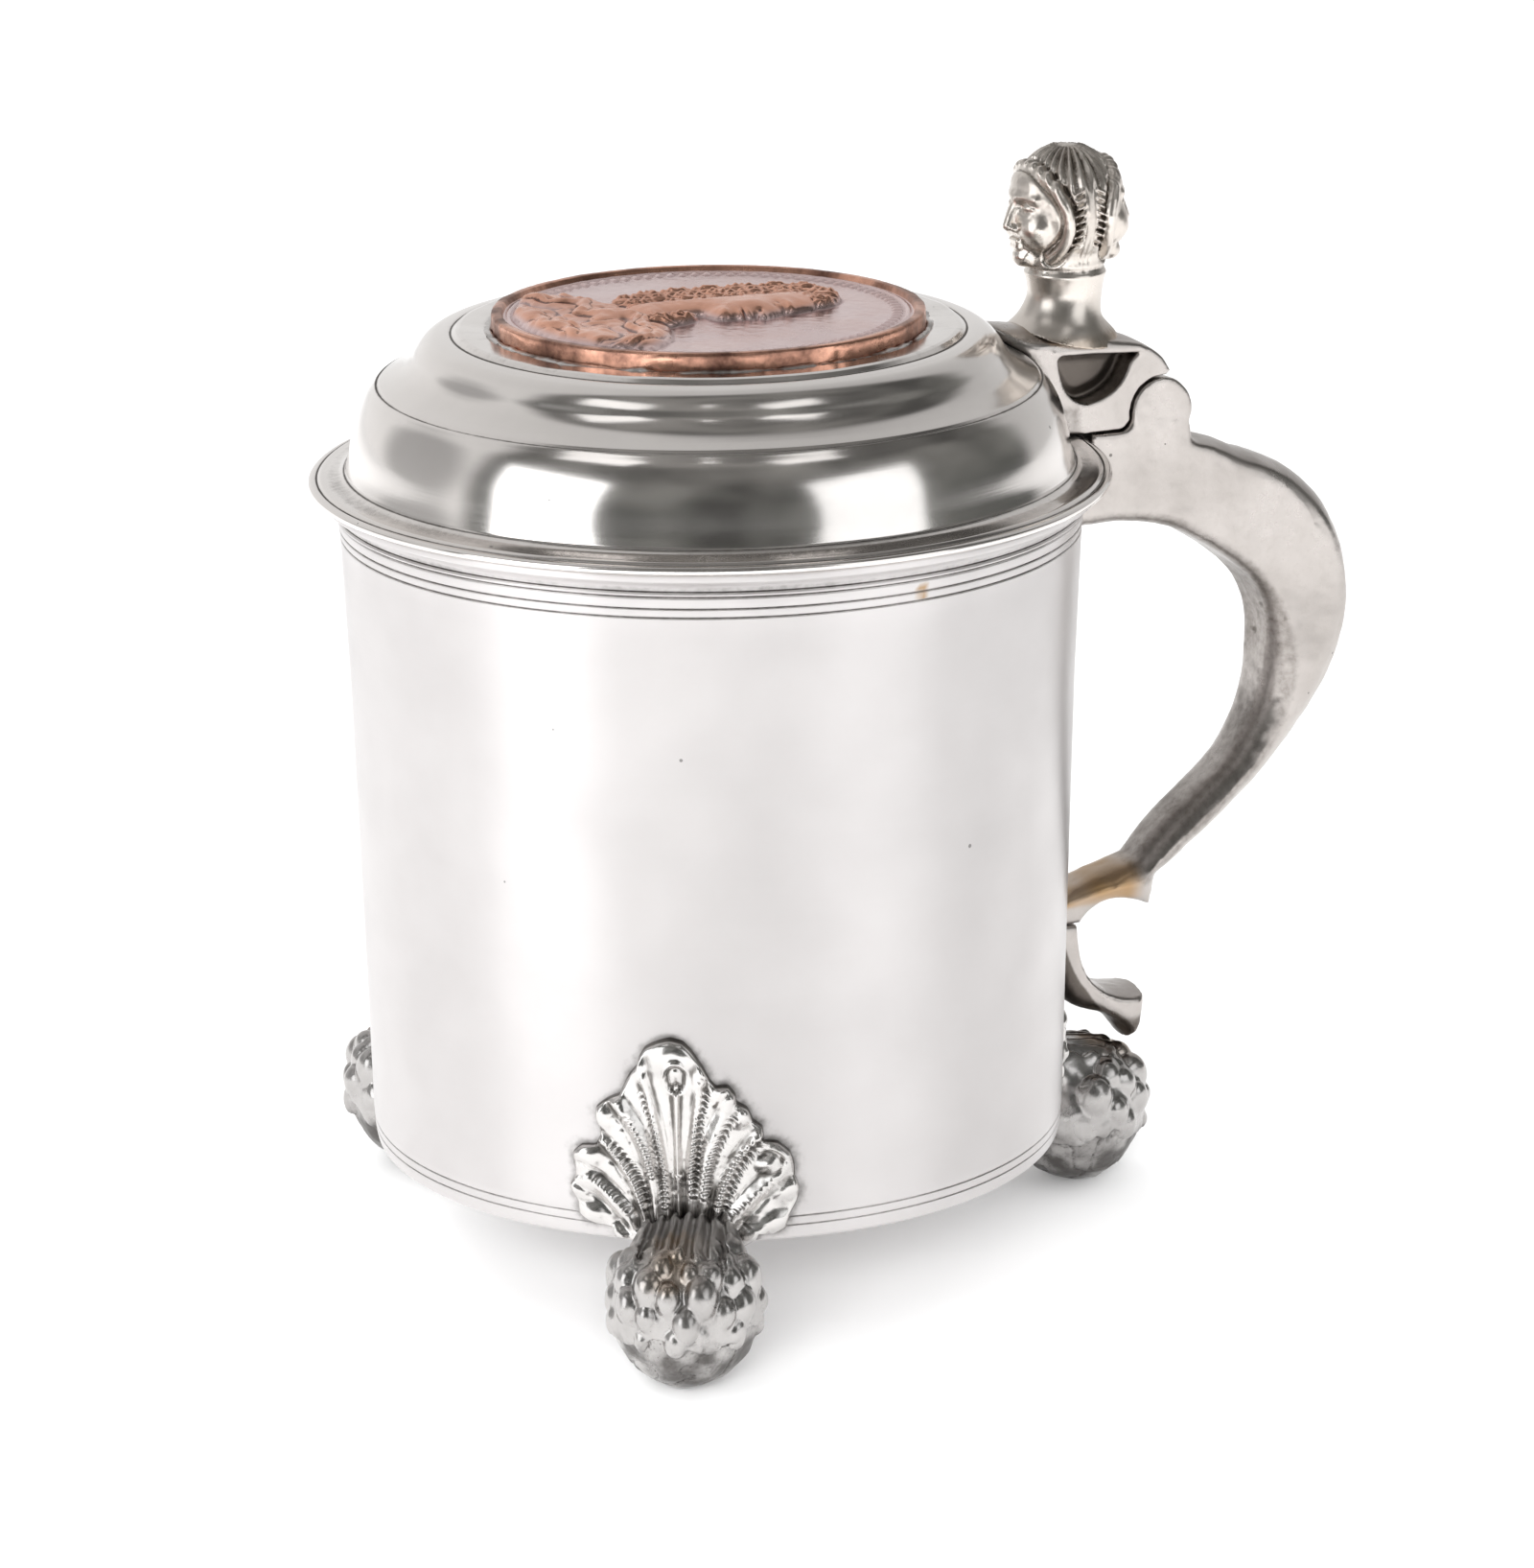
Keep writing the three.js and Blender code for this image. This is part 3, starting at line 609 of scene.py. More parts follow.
def make_leaf(number, turn_degrees):
    rows, columns = 96, 300
    s = np.linspace(0, 1, rows + 1)[1:, None] ** 0.85
    angle = np.linspace(-np.pi, np.pi, columns, endpoint=False)[None, :]
    reach = leaf_reach(angle)
    if turn_degrees == 0:
        upright = np.maximum(np.cos(angle), 1e-3)
        reach = np.where(np.cos(angle) > 0, np.minimum(reach, 13.6 / upright), reach)
    t = LEAF_CENTRE[0] + s * reach * np.sin(angle)
    z = LEAF_CENTRE[1] + s * reach * np.cos(angle)
    height = leaf_relief(t, z)
    # below the drum's edge the leaf runs on into the neck of the foot
    neck = smooth(22.5, 19.2, z) * np.exp(-((t / 7.5) ** 4))
    height = height + 1.9 * neck
    if turn_degrees == 0:
        height = np.where(z > 30, np.minimum(height, 2.2), height)
    from_edge = np.clip((1 - s) * reach / 0.95, 0, 1)
    height = height * np.sqrt(1 - (1 - from_edge) ** 2)
    hollow = np.clip((blurred(height, 3) - height) / 0.3, 0, 1)
    edge_dirt = smooth(0.5, 0.0, from_edge) * 0.4
    tarnish_and_shade = np.clip(hollow * 0.95 + edge_dirt + 0.12 * noise(t, z, 0, 3.0, 9), 0, 1)
    stain = neck * smooth(3.5, 0.5, np.abs(t)) * 0.3
    front = np.stack([t, z, height], -1)
    back = front[::-1] * [0.985, 1, 0] + [0, 0, -0.2]
    sheet = np.concatenate([front, back])
    sheet_tarnish = np.concatenate([tarnish_and_shade, tarnish_and_shade[::-1]]).ravel()
    sheet_stain = np.concatenate([stain, stain[::-1]]).ravel()
    out = drum_radius(sheet[..., 1]) + sheet[..., 2]
    round_drum = math.radians(turn_degrees) + sheet[..., 0] / LEAF_BEND_R
    points = np.stack([out * np.cos(round_drum), out * np.sin(round_drum), sheet[..., 1]], -1)
    make(f"foot_leaf_{number}_cast", *capped(points), "vessel", "aged_pewter", LEAF,
         [f"foot_leaf_{number}"], sheet_tarnish, sheet_stain)


for i, (turn_degrees, _, _) in enumerate(FEET):
    make_leaf(i + 1, turn_degrees)

# ---- drum and base plate


def groove(r, z, width=0.34, depth=0.2):
    """A fine line cut round a nearly upright wall, from its lower side up."""
    return [(r, z - width / 2), (r - depth, z - 0.03), (r - depth, z + 0.03), (r, z + width / 2)]


def make_drum():
    outer = [(51.9, BASE_Z), (52.9, BASE_Z), (53.4, BASE_Z + 0.45), (53.6, BASE_Z + 1.4)]
    outer += groove(53.72, 21.2, 0.28, 0.13) + groove(53.8, 22.6, 0.28, 0.13)
    outer += even([(53.88, 23.6), (53.9, 25), (54.7, 60)], 0.65)[:-1].tolist()
    outer += even([(54.7, 60), (55.5, 92), (56.45, 115)], 2.5).tolist()
    outer += groove(56.5, 115.5, 0.38, 0.24) + groove(56.62, 116.85, 0.34, 0.22)
    outer += [(56.7, 117.4), (56.85, 118.35), (56.55, 118.7), (57.15, 118.85), (57.3, 119.1),
              (57.1, 119.38), (56.85, 119.5)]
    outer += spline([(57.15, 119.68), (57.45, 120.15), (58.1, 120.8), (58.9, 121.25)], 4).tolist()
    outer += [(59.15, 121.3), (59.4, 121.55), (59.42, 122.3), (59.2, RIM_Z)]
    inner = [(54.5, RIM_Z), (54.2, RIM_Z - 0.3), (52.9, 92), (52.3, 60), (51.5, 25), (51.5, BASE_Z)]
    profile = np.vstack([softened(outer, 0.12), even(inner, 4)])
    points = turned(profile, 400)
    flat, quads = woven(points)
    r, z = np.hypot(flat[:, 0], flat[:, 1]), flat[:, 2]
    angle = np.arctan2(flat[:, 1], flat[:, 0])
    tarnish_and_shade = np.zeros(len(flat))
    close = (z < 58) & (r > 53)
    # dirt gathers round the leaves, where nobody can polish
    edge = spline(LEAF_EDGE + LEAF_EDGE[:1], 2)
    for turn_degrees, _, _ in FEET:
        off = (angle - math.radians(turn_degrees) + np.pi) % (2 * np.pi) - np.pi
        pick = close & (np.abs(off) < 0.5)
        t = off[pick] * LEAF_BEND_R
        d = outline_distance(t, z[pick], edge)
        d = d + 0.3 * noise(t, z[pick], 0 * t, 2.6, 2)
        tarnish_and_shade[pick] = np.maximum(tarnish_and_shade[pick], 0.24 * smooth(1.0, 0.0, d) + 0.26 * smooth(4.0, 0.3, d))
    for level, dirt_and_shade in ((21.2, 0.5), (22.6, 0.5), (115.5, 0.7), (116.85, 0.7), (118.65, 0.8), (119.5, 0.8)):
        tarnish_and_shade = np.maximum(tarnish_and_shade, np.where(r > 53, dirt_and_shade * smooth(0.22, 0.0, np.abs(z - level)), 0))
    tarnish_and_shade = np.maximum(tarnish_and_shade, np.where(r > 53, 0.35 * smooth(1.0, 0.0, np.abs(z - 119.9)), 0))
    inside = r < np.interp(z, [BASE_Z, 60, 92, RIM_Z], [52.3, 53.2, 53.9, 55.0]) - 0.2
    tarnish_and_shade = np.maximum(tarnish_and_shade, np.where(inside, 0.27 + 0.1 * noise(flat[:, 0], flat[:, 1], z, 12, 1), 0))
    splash = np.hypot((angle + math.radians(80.5)) * 57, (z - 116.9) / 2.2) \
        + 0.5 * noise(flat[:, 0], flat[:, 1], z, 0.9, 6)
    stain = np.where(r > 53, smooth(0.9, 0.45, splash), 0)
    make("drum_body", flat, quads, "vessel", "polished_pewter", POLISHED, ["body_drum"], tarnish_and_shade, stain)


def make_base_plate():
    low, high = plate_low.z / MM, plate_high.z / MM
    rim = (plate_high.x - plate_low.x) / 2 / MM
    under = [(0.02, low + 1.1), (1.6, low + 1.1)]
    under += even([(1.9, low + 0.9), (22, low + 0.75), (22.3, low + 0.55), (40, low + 0.3),
                   (40.3, low + 0.05), (rim - 1.4, low), (rim, low)], 3).tolist()
    over = even([(rim, high), (rim - 2, high), (30, high - 0.3), (2.2, high - 0.45), (1.7, high - 0.1),
                 (0.02, high)], 3)
    profile = softened(np.vstack([under, over]), 0.2)
    flat, quads = woven(turned(profile, 192))
    rings = np.abs(np.hypot(flat[:, 0], flat[:, 1]) - rim)
    tarnish_and_shade = 0.3 + 0.5 * smooth(4, 0, rings) + 0.2 * noise(flat[:, 0], flat[:, 1], flat[:, 2], 9, 2)
    make("drum_base_plate", flat, quads, "vessel", "polished_pewter", POLISHED, ["base_plate"], tarnish_and_shade)


make_drum()
make_base_plate()

# ---- lid, medal and solder


def make_lid():
    outer = [(60.3, LID_Z), (60.95, LID_Z + 0.12), (61.1, LID_Z + 0.45), (61.05, 123.75), (60.7, 124.0),
             (60.3, 124.1), (59.95, 124.12), (59.8, 123.95), (59.65, 124.15), (59.3, 124.45)]
    outer += spline([(59.0, 124.5), (58.0, 124.55), (56.6, 124.75), (55.9, 125.1)], 4).tolist()
    outer += [(55.75, 125.25), (55.6, 125.2), (55.45, 125.4)]
    outer += spline([(55.35, 125.6), (54.9, 127.4), (54.2, 131), (53.3, 133.8), (52.0, 136.4),
                     (50.75, 138.05)], 6).tolist()
    outer += [(50.55, 138.25), (50.4, 138.12), (50.2, 138.3)]
    outer += spline([(49.9, 138.6), (48.2, 139.45), (46.4, 140.6), (45.1, 142.0), (44.3, 143.3),
                     (43.2, 144.6), (41.9, 145.4), (40.4, 145.75)], 6).tolist()
    outer += [(39.4, 145.85), (39.0, 145.72), (38.75, 145.9), (38.2, 146.35), (37.6, 146.5),
              (34.5, 146.45), (MEDAL_R + 0.25, 146.35)]
    inner = even([(MEDAL_R + 0.25, 145.3), (30.5, 145.2), (30.5, 143.9), (38, 143.7), (42.6, 142.2),
                  (46.2, 138.6), (49.2, 136.0), (52.2, 130), (53.5, 124.2), (53.9, LID_Z)], 2)
    profile = np.vstack([softened(outer, 0.1), softened(inner, 0.3)])
    points = turned(profile, 384)
    flat, quads = woven(points)
    x, y, z = flat.T
    r = np.hypot(x, y)
    # the seat round the medal is flooded with solder and not quite flat
    top = (z > 146.0) & (r > MEDAL_R)
    flat[:, 2] += np.where(top, 0.12 * noise(x, y, 0, 5, 4), 0)
    outside = z > np.interp(r, [30, 38, 46.2, 52.2, 54], [145.2, 144.9, 139.8, 131.5, 124.5])
    tarnish_and_shade = np.zeros(len(flat))
    lines = ((59.8, 124.0, 0.8), (55.6, 125.2, 0.7), (50.4, 138.15, 0.8), (39.0, 145.75, 0.9))
    for at_r, at_z, level in lines:
        tarnish_and_shade = np.maximum(tarnish_and_shade, level * smooth(0.4, 0.05, np.hypot(r - at_r, z - at_z)))
    tarnish_and_shade = np.maximum(tarnish_and_shade, 0.36 * smooth(2.0, 0.4, np.abs(r - 57.2)) * (z > 124))
    smeared = 0.2 + 0.1 * noise(x, y, 0, 2.2, 6) + 0.08 * noise(x, y, 0, 0.9, 7)
    tarnish_and_shade = np.maximum(tarnish_and_shade, np.where(top & (r < 38.7), smeared, 0))
    tarnish_and_shade = np.where(outside | (r > 55.2), tarnish_and_shade, 0.38 + 0.15 * noise(x, y, z, 11, 3))
    near_leaf = outline_distance(x, y, [(45.5, -3), (47.5, -6.2), (52, -7.6), (72, -7.6), (72, 7.6),
                                        (52, 7.6), (47.5, 6.2), (45.5, 3)])
    near_leaf = near_leaf + 0.5 * noise(x, y, z, 1.5, 8)
    tarnish_and_shade = np.maximum(tarnish_and_shade, 0.7 * smooth(1.6, 0.2, near_leaf) * (z > 123.5))
    make("lid_dome", flat, quads, "lid", "polished_pewter", DOME, ["lid_shell"], tarnish_and_shade)


def make_bead():
    columns, rows = 420, 12
    angle = np.linspace(0, 2 * np.pi, columns, endpoint=False)[None, :]
    round_it = np.linspace(0, 2 * np.pi, rows, endpoint=False)[:, None]
    cx, cy = np.cos(angle) * 34, np.sin(angle) * 34
    wide = 0.75 + 0.5 * noise(cx, cy, 0, 5, 1) + 0.25 * noise(cx, cy, 0, 1.4, 2)
    wide = np.clip(wide, 0.3, 1.7)
    tall = np.clip(0.4 + 0.25 * noise(cx, cy, 0, 3, 5) + 0.15 * noise(cx, cy, 0, 1.1, 6), 0.2, 0.7)
    r = MEDAL_R + 0.02 + wide * (1 + np.cos(round_it)) * 0.85
    z = 146.2 + tall * np.sin(round_it) * (1 - 0.35 * np.cos(round_it))
    points = np.stack([r * np.cos(angle), r * np.sin(angle), z], -1)
    flat, quads = woven(points)
    flat[:, 2] += 0.12 * noise(*flat.T, 0.8, 7)
    tarnish_and_shade = 0.25 + 0.5 * noise(*flat.T, 1.5, 8)
    make("medal_solder", flat, quads, "lid", "solder", SOLDER, ["medal_solder_bead"], tarnish_and_shade)


# The bust looks towards -Y. In the medal's own plane, p is to the right (-Y) and q is up (+X).
FACE_LINE = [
    (1.5, 18.6), (4.2, 17.0), (6.1, 14.6), (6.9, 12.2), (7.2, 10.2), (6.9, 9.2), (8.3, 6.6), (8.9, 5.6),
    (8.3, 4.9), (7.5, 4.6), (8.0, 3.6), (7.4, 2.9), (7.9, 2.2), (7.2, 1.4), (7.4, 0.2), (6.6, -1.2),
    (4.9, -1.9), (3.0, -2.2), (2.4, -4.0), (2.6, -7.5), (4.0, -11.0), (-5.0, -12.0), (-5.0, 4.0), (-3.0, 16.0),
]
HAIR_EDGE = [
    (6.0, 15.6), (4.2, 19.4), (0.5, 21.8), (-4.0, 21.6), (-8.2, 18.6), (-10.6, 13.6), (-11.8, 7.0),
    (-12.8, 0.0), (-12.6, -6.0), (-10.4, -11.5), (-6.4, -13.2), (-2.6, -11.0), (-1.4, -6.0), (-1.0, -1.0),
    (0.6, 3.6), (1.4, 8.0), (2.6, 11.6), (4.6, 13.4),
]
LOCK_EDGE = [(3.2, -3.4), (5.6, -4.0), (7.6, -8.0), (8.0, -12.0), (6.0, -14.4), (2.8, -13.4), (2.2, -8.0)]
CLOAK_EDGE = [
    (-6.0, -10.0), (-12.0, -12.4), (-18.0, -15.4), (-22.6, -20.0), (-17.0, -24.6), (-9.0, -28.4), (0.0, -29.4),
    (9.0, -28.4), (17.0, -24.4), (21.6, -18.0), (17.0, -13.0), (10.0, -10.2), (4.0, -9.4), (-1.0, -12.0),
]
# Curls of hair: middle and radius.
CURLS = [
    (-1.0, 19.6, 2.6), (3.6, 17.2, 2.0), (-5.8, 18.6, 2.7), (-8.8, 14.6, 2.6), (-4.2, 14.6, 2.5),
    (0.6, 14.6, 2.3), (-10.0, 9.6, 2.6), (-5.8, 10.0, 2.6), (-1.6, 10.2, 2.2), (-10.8, 4.4, 2.6),
    (-6.6, 5.0, 2.5), (-2.6, 5.6, 2.2), (-11.0, -0.8, 2.5), (-6.8, -0.2, 2.5), (-3.0, 0.8, 2.1),
    (-10.8, -5.8, 2.5), (-6.6, -5.4, 2.5), (-3.2, -4.2, 1.9), (-8.6, -10.2, 2.4), (-4.8, -9.6, 2.2),
    (5.0, -6.4, 1.8), (5.4, -10.2, 2.0),
]


def pillow(p, q, edge, reach, rise):
    """A cushion inside an outline, round over its edge as far in as reach, with the distance to the edge."""
    d = outline_distance(p, q, edge)
    inside = np.clip(-d / reach, 0, 1)
    return rise * np.sqrt(np.clip(1 - (1 - inside) ** 2, 0, 1)), d


def medal_relief(p, q):
    """Height of the portrait and border over the medal's field."""
    r = np.hypot(p, q)
    turn = np.arctan2(q, p)
    wander = noise(p, q, 0, 6, 2)
    cloak, d = pillow(p, q, CLOAK_EDGE, 3.0, 1.1)
    sweep = q * 0.55 - np.abs(p + 3) * 0.45 + 0.03 * p * p + 2.2 * wander + 0.8 * noise(p, q, 0, 3, 4)
    folds = 0.4 * np.sin(sweep * 1.1) + 0.34 * np.abs(np.sin(sweep * 1.9 + 1.6 * wander)) \
        + 0.3 * noise(p, q, 0, 2.2, 7) + 0.14 * noise(p, q, 0, 1.1, 8)
    height = np.maximum(cloak + folds * smooth(0.2, -1.4, d), 0)
    head, d = pillow(p, q, spline(FACE_LINE + FACE_LINE[:1], 4), 5.5, 2.0)
    bump = lambda x, y, wide, tall, rise: rise * np.exp(-(((p - x) / wide) ** 2 + ((q - y) / tall) ** 2))
    head = head + (
        bump(4.4, 5.2, 2.2, 2.6, 0.35) + bump(6.1, 10.9, 1.5, 0.6, 0.3) - bump(5.3, 9.4, 1.3, 0.9, 0.45)
        + bump(5.3, 9.3, 0.8, 0.5, 0.42) + bump(5.4, 9.95, 1.1, 0.25, 0.22) - bump(6.8, 5.6, 0.5, 0.5, 0.3)
        - bump(6.7, 3.0, 1.1, 0.22, 0.3) + bump(6.9, 3.6, 0.8, 0.35, 0.16) + bump(6.8, 2.3, 0.8, 0.4, 0.2)
        + bump(6.0, 0.2, 1.1, 0.9, 0.2)) * (d < 0)
    height = np.maximum(height, head)
    for edge in (HAIR_EDGE, LOCK_EDGE):
        hair, d = pillow(p, q, spline(edge + edge[:1], 4), 2.6, 1.9)
        locks = np.zeros_like(hair)
        for x, y, size in CURLS:
            near = np.hypot(p - x, q - y)
            spiral = np.cos(near * 5.2 - np.arctan2(q - y, p - x) * (1 if x < -5 else -1))
            mound = np.sqrt(np.clip(1 - (near / size) ** 2, 0, 1))
            locks = np.maximum(locks, mound * (0.62 + 0.2 * spiral))
        strands = 0.2 * np.sin((p * 0.9 - q * 0.35) * 4.0 + 1.6 * noise(p, q, 0, 4, 5))
        hair = (hair * 0.65 + locks * 0.85 + strands) * smooth(0.05, -0.5, d)
        height = np.maximum(height, hair)
    height = np.where(r < 29.6, height, 0)
    # two fine rings near the rim, with a plain toothed border between them
    teeth = smooth(-0.1, 0.5, np.cos(turn * 96)) * smooth(0.9, 0.6, np.abs(r - 28.6))
    open_field = smooth(0.5, 0.05, height)
    height = height + 0.3 * teeth * open_field
    height = height + 0.28 * peak(r - 30.2, 0.25) + 0.04 * noise(p, q, 0, 1.0, 6)
    return height


def wreath(p, q):
    """The back of the medal: a plain wreath round an empty field."""
    r = np.hypot(p, q)
    turn = np.arctan2(q, p)
    leaf = np.abs(((turn * 18 / np.pi) % 1) - 0.5) * 2
    side = np.abs(r - 23)
    leaves = smooth(3.2, 1.8, side + 1.4 * leaf) * 0.7 + 0.25 * smooth(0.5, 0.1, side)
    rose = 0.35 * np.cos(turn * 8) * peak(r - 5, 2.6) + 0.5 * peak(r, 1.6)
    return leaves + rose


def make_medal():
    rim = MEDAL_R
    field_z, back_z = MEDAL_TOP - 0.8, MEDAL_Z + 0.4
    top = [(r, field_z) for r in np.linspace(0.15, rim - 1.9, 145)] + [
        (rim - 1.75, MEDAL_TOP - 0.7), (rim - 1.5, MEDAL_TOP - 0.1), (rim - 1.3, MEDAL_TOP),
        (rim - 0.45, MEDAL_TOP), (rim - 0.12, MEDAL_TOP - 0.1), (rim, MEDAL_TOP - 0.45)]
    side = [(rim, MEDAL_Z + z) for z in (2.4, 1.8, 1.2, 0.6, 0.2)]
    under = [(rim - 0.3, MEDAL_Z), (rim - 1.4, MEDAL_Z), (rim - 1.8, MEDAL_Z + 0.35)]
    under += [(r, back_z) for r in np.linspace(rim - 2.4, 0.15, 36)]
    profile = np.array(top + side + under)[::-1]
    points = turned(profile, 480)
    p, q = -points[..., 1], points[..., 0]
    r = np.hypot(p, q)
    front, back = (np.abs(profile[:, 1] - level) < 1e-6 for level in (field_z, back_z))
    height, depth = np.zeros(p.shape), np.zeros(p.shape)
    height[front] = medal_relief(p[front], q[front]) * smooth(rim - 1.9, rim - 2.4, r[front])
    depth[back] = wreath(p[back], q[back]) * smooth(rim - 2.4, rim - 3.4, r[back]) * 0.5
    points[..., 2] += height - depth
    edge = ~(front | back)
    # the edge was filed by hand
    places = np.moveaxis(points, -1, 0)
    wave = layers(places, (0.1, 3, 2), (0.07, 1, 3))
    points[..., :2] *= np.where(edge[:, None], 1 + wave / rim, 1)[..., None]
    hollow = (blurred(height, 2) - height) / 0.14 + (blurred(height, 6) - height) / 0.6
    hollow = np.clip(hollow, 0, 1) * front[:, None]
    worn = noise(*places[:2], 0, 4, 9)
    tarnish_and_shade = np.clip(0.8 * hollow + np.where(edge[:, None], 0.5 + 0.3 * worn, 0), 0, 1)
    tarnish_and_shade = np.where(back[:, None], 0.35, tarnish_and_shade)
    pale = np.where(front[:, None], smooth(1.3, 0.3, height) * 0.95 + 0.1 * worn, 0)
    make("lid_medal_struck", *capped(points), "lid", "medal_copper", COPPER, ["lid_medal"],
         tarnish_and_shade.ravel(), pale.ravel())


make_lid()
make_bead()
make_medal()

# ---- hinge bracket on the lid

# The top line of the bracket along its middle, and along its cheeks.
BRACKET_TOP = [
    (44.6, 143.2), (46.5, 142.4), (53, 141.5), (61, 139.9), (69, 138.6), (73.2, 136.4), (75.2, 133.4),
]
BRACKET_CHEEK = [
    (44.6, 139.6), (46.5, 139.4), (53, 139.3), (61, 139.3), (69, 138.2), (73.1, 136.1), (75.1, 133.4),
]


def bracket_outline(top):
    """The bracket from the side, with the given top line."""
    under = [(74.5, 132.8), (73.7, 131.0), (69.0, 127.0), (67.7, 125.7), (67.0, 124.95), (66.2, 124.75),
             (61.6, 124.7), (50, 124.4), (44, 124.4)]
    return spline(top, 5).tolist() + under


def lug_slab(y, gap):
    """Distance to the slice that a lug takes up across the hinge, less a gap at each side."""
    inner, outer = LUGS[0] + gap, LUGS[1] - gap
    return np.abs(y - (inner + outer) / 2) - (outer - inner) / 2


def dome_keep_out(x, y, z):
    """Distance into the lid, from the outside of its dome."""
    r = np.hypot(x, y)
    rim_z = [124.5, 124.9, 125.3, 127.4, 131, 133.8, 136.4, 138.05, 139.45, 140.6, 142.0, 143.3, 144.6]
    rim_r = [60.0, 57.0, 55.4, 54.9, 54.2, 53.3, 52.0, 50.7, 48.2, 46.4, 45.1, 44.3, 43.2]
    rim = np.interp(z, rim_z, rim_r)
    slope = np.interp(z, [126, 132, 137, 139.4, 141, 144], [1.0, 0.95, 0.82, 0.5, 0.7, 0.7])
    return (r - rim) * slope


def make_bracket():
    step = 0.3
    low, high = (42.5, -8.4, 120.5), (80.5, 8.4, 145.5)
    x, y, z = grid(low, high, step)
    half = HINGE_W / 2
    middle, cheek = (flat_outline(x, z, bracket_outline(top)) for top in (BRACKET_TOP, BRACKET_CHEEK))
    crown = 1 - np.minimum(np.abs(y) / half, 1) ** 2.4
    side = mix(cheek, middle, crown)
    nose = np.where(x < 53, np.hypot(x - 53, y) - half, np.abs(y) - half)
    solid = both(side, nose, 0.55)
    from_pin = np.hypot(x - PIN_X, z - PIN_Z)
    solid = removed(solid, from_pin - (EAR_R + 0.5) + 0 * y, 0.25)
    solid = np.maximum(solid, 0.12 - dome_keep_out(x, y, z))
    pocket_edge = [(55.4, 136.9), (56.2, 137.5), (62, 137.4), (69.6, 136.8)]
    pocket_edge += bends((68.0, 135.4), ((66.4, 130.2), (60.6, 129.4), 8),
                         ((56.2, 130.0), (55.4, 136.9), 8))[:-1]
    pocket = flat_outline(x, z, pocket_edge)
    floor = (half - 4.6) - np.abs(y) + 0.35 * np.minimum(np.abs(pocket), 2)
    solid = removed(solid, both(pocket + 0 * y, floor, 0.8), 0.35)
    # a raised lip runs along the top of the hollow
    lip = np.abs(flat_outline(x, z, [(55.2, 138.0), (69.6, 137.6), (69.6, 137.4), (55.2, 137.8)]))
    solid = solid - 0.28 * peak(lip, 0.7) * smooth(half - 1.4, half - 0.3, np.abs(y))
    knuckle = from_pin - (EAR_R - 0.25)
    web = np.maximum(np.abs(x - (PIN_X - 2.6)) - 2.8, np.abs(z - (PIN_Z + 3.2)) - 3.2)
    for side in (-1, 1):
        solid = np.minimum(solid, both(np.minimum(knuckle, web), lug_slab(side * y, 0.2), 0.2))
    solid = np.maximum(solid, BORE_R - from_pin)
    near, px, py, pz = near_skin(solid, 1.2, x, y, z)
    solid[near] += layers((px, py, pz), (0.06, 2.6, 1), (0.03, 0.9, 2))
    points, quads, hollow = skin_of(solid, low, step)
    px, py, pz = points.T
    # painted shade: the pocket's hollow is painted nearly black where shade falls in it
    pocket_shade = smooth(0.6, -0.6, outline_distance(px, pz, pocket_edge))
    pocket_shade = pocket_shade * smooth(half - 0.3, half - 1.2, np.abs(py))
    by_dome = smooth(2.2, 0.3, dome_keep_out(px, py, pz))
    neck_root = smooth(10.5, 8.2, np.hypot(px - HEAD_X, py * 1.1)) * smooth(138.6, 139.6, pz)
    low_corner = smooth(61.5, 58.5, px) * smooth(131, 128.5, pz)
    tarnish_and_shade = 0.95 * pocket_shade + 0.55 * by_dome * smooth(141, 137, pz) + 0.5 * low_corner \
        + 0.3 * hollow + 0.3 * neck_root
    stain = 0.45 * neck_root * (0.6 + 0.4 * noise(px, py, pz, 2.5, 3))
    make("hinge_bracket", points, quads, "lid", "cast_pewter", CAST, ["hinge_leaf"], tarnish_and_shade, stain)


make_bracket()

# ---- thumbpiece: a head with two faces


def neck_radius(z):
    return np.interp(z, *np.array(spline([
        (138.0, 8.6), (139.6, 8.1), (140.8, 7.5), (142.2, 6.7), (144.0, 6.05), (146.0, 5.8), (148.0, 6.05),
        (149.2, 6.4), (149.9, 6.1), (150.8, 6.2), (152.5, 5.9), (155, 4.8)], 6)).T)


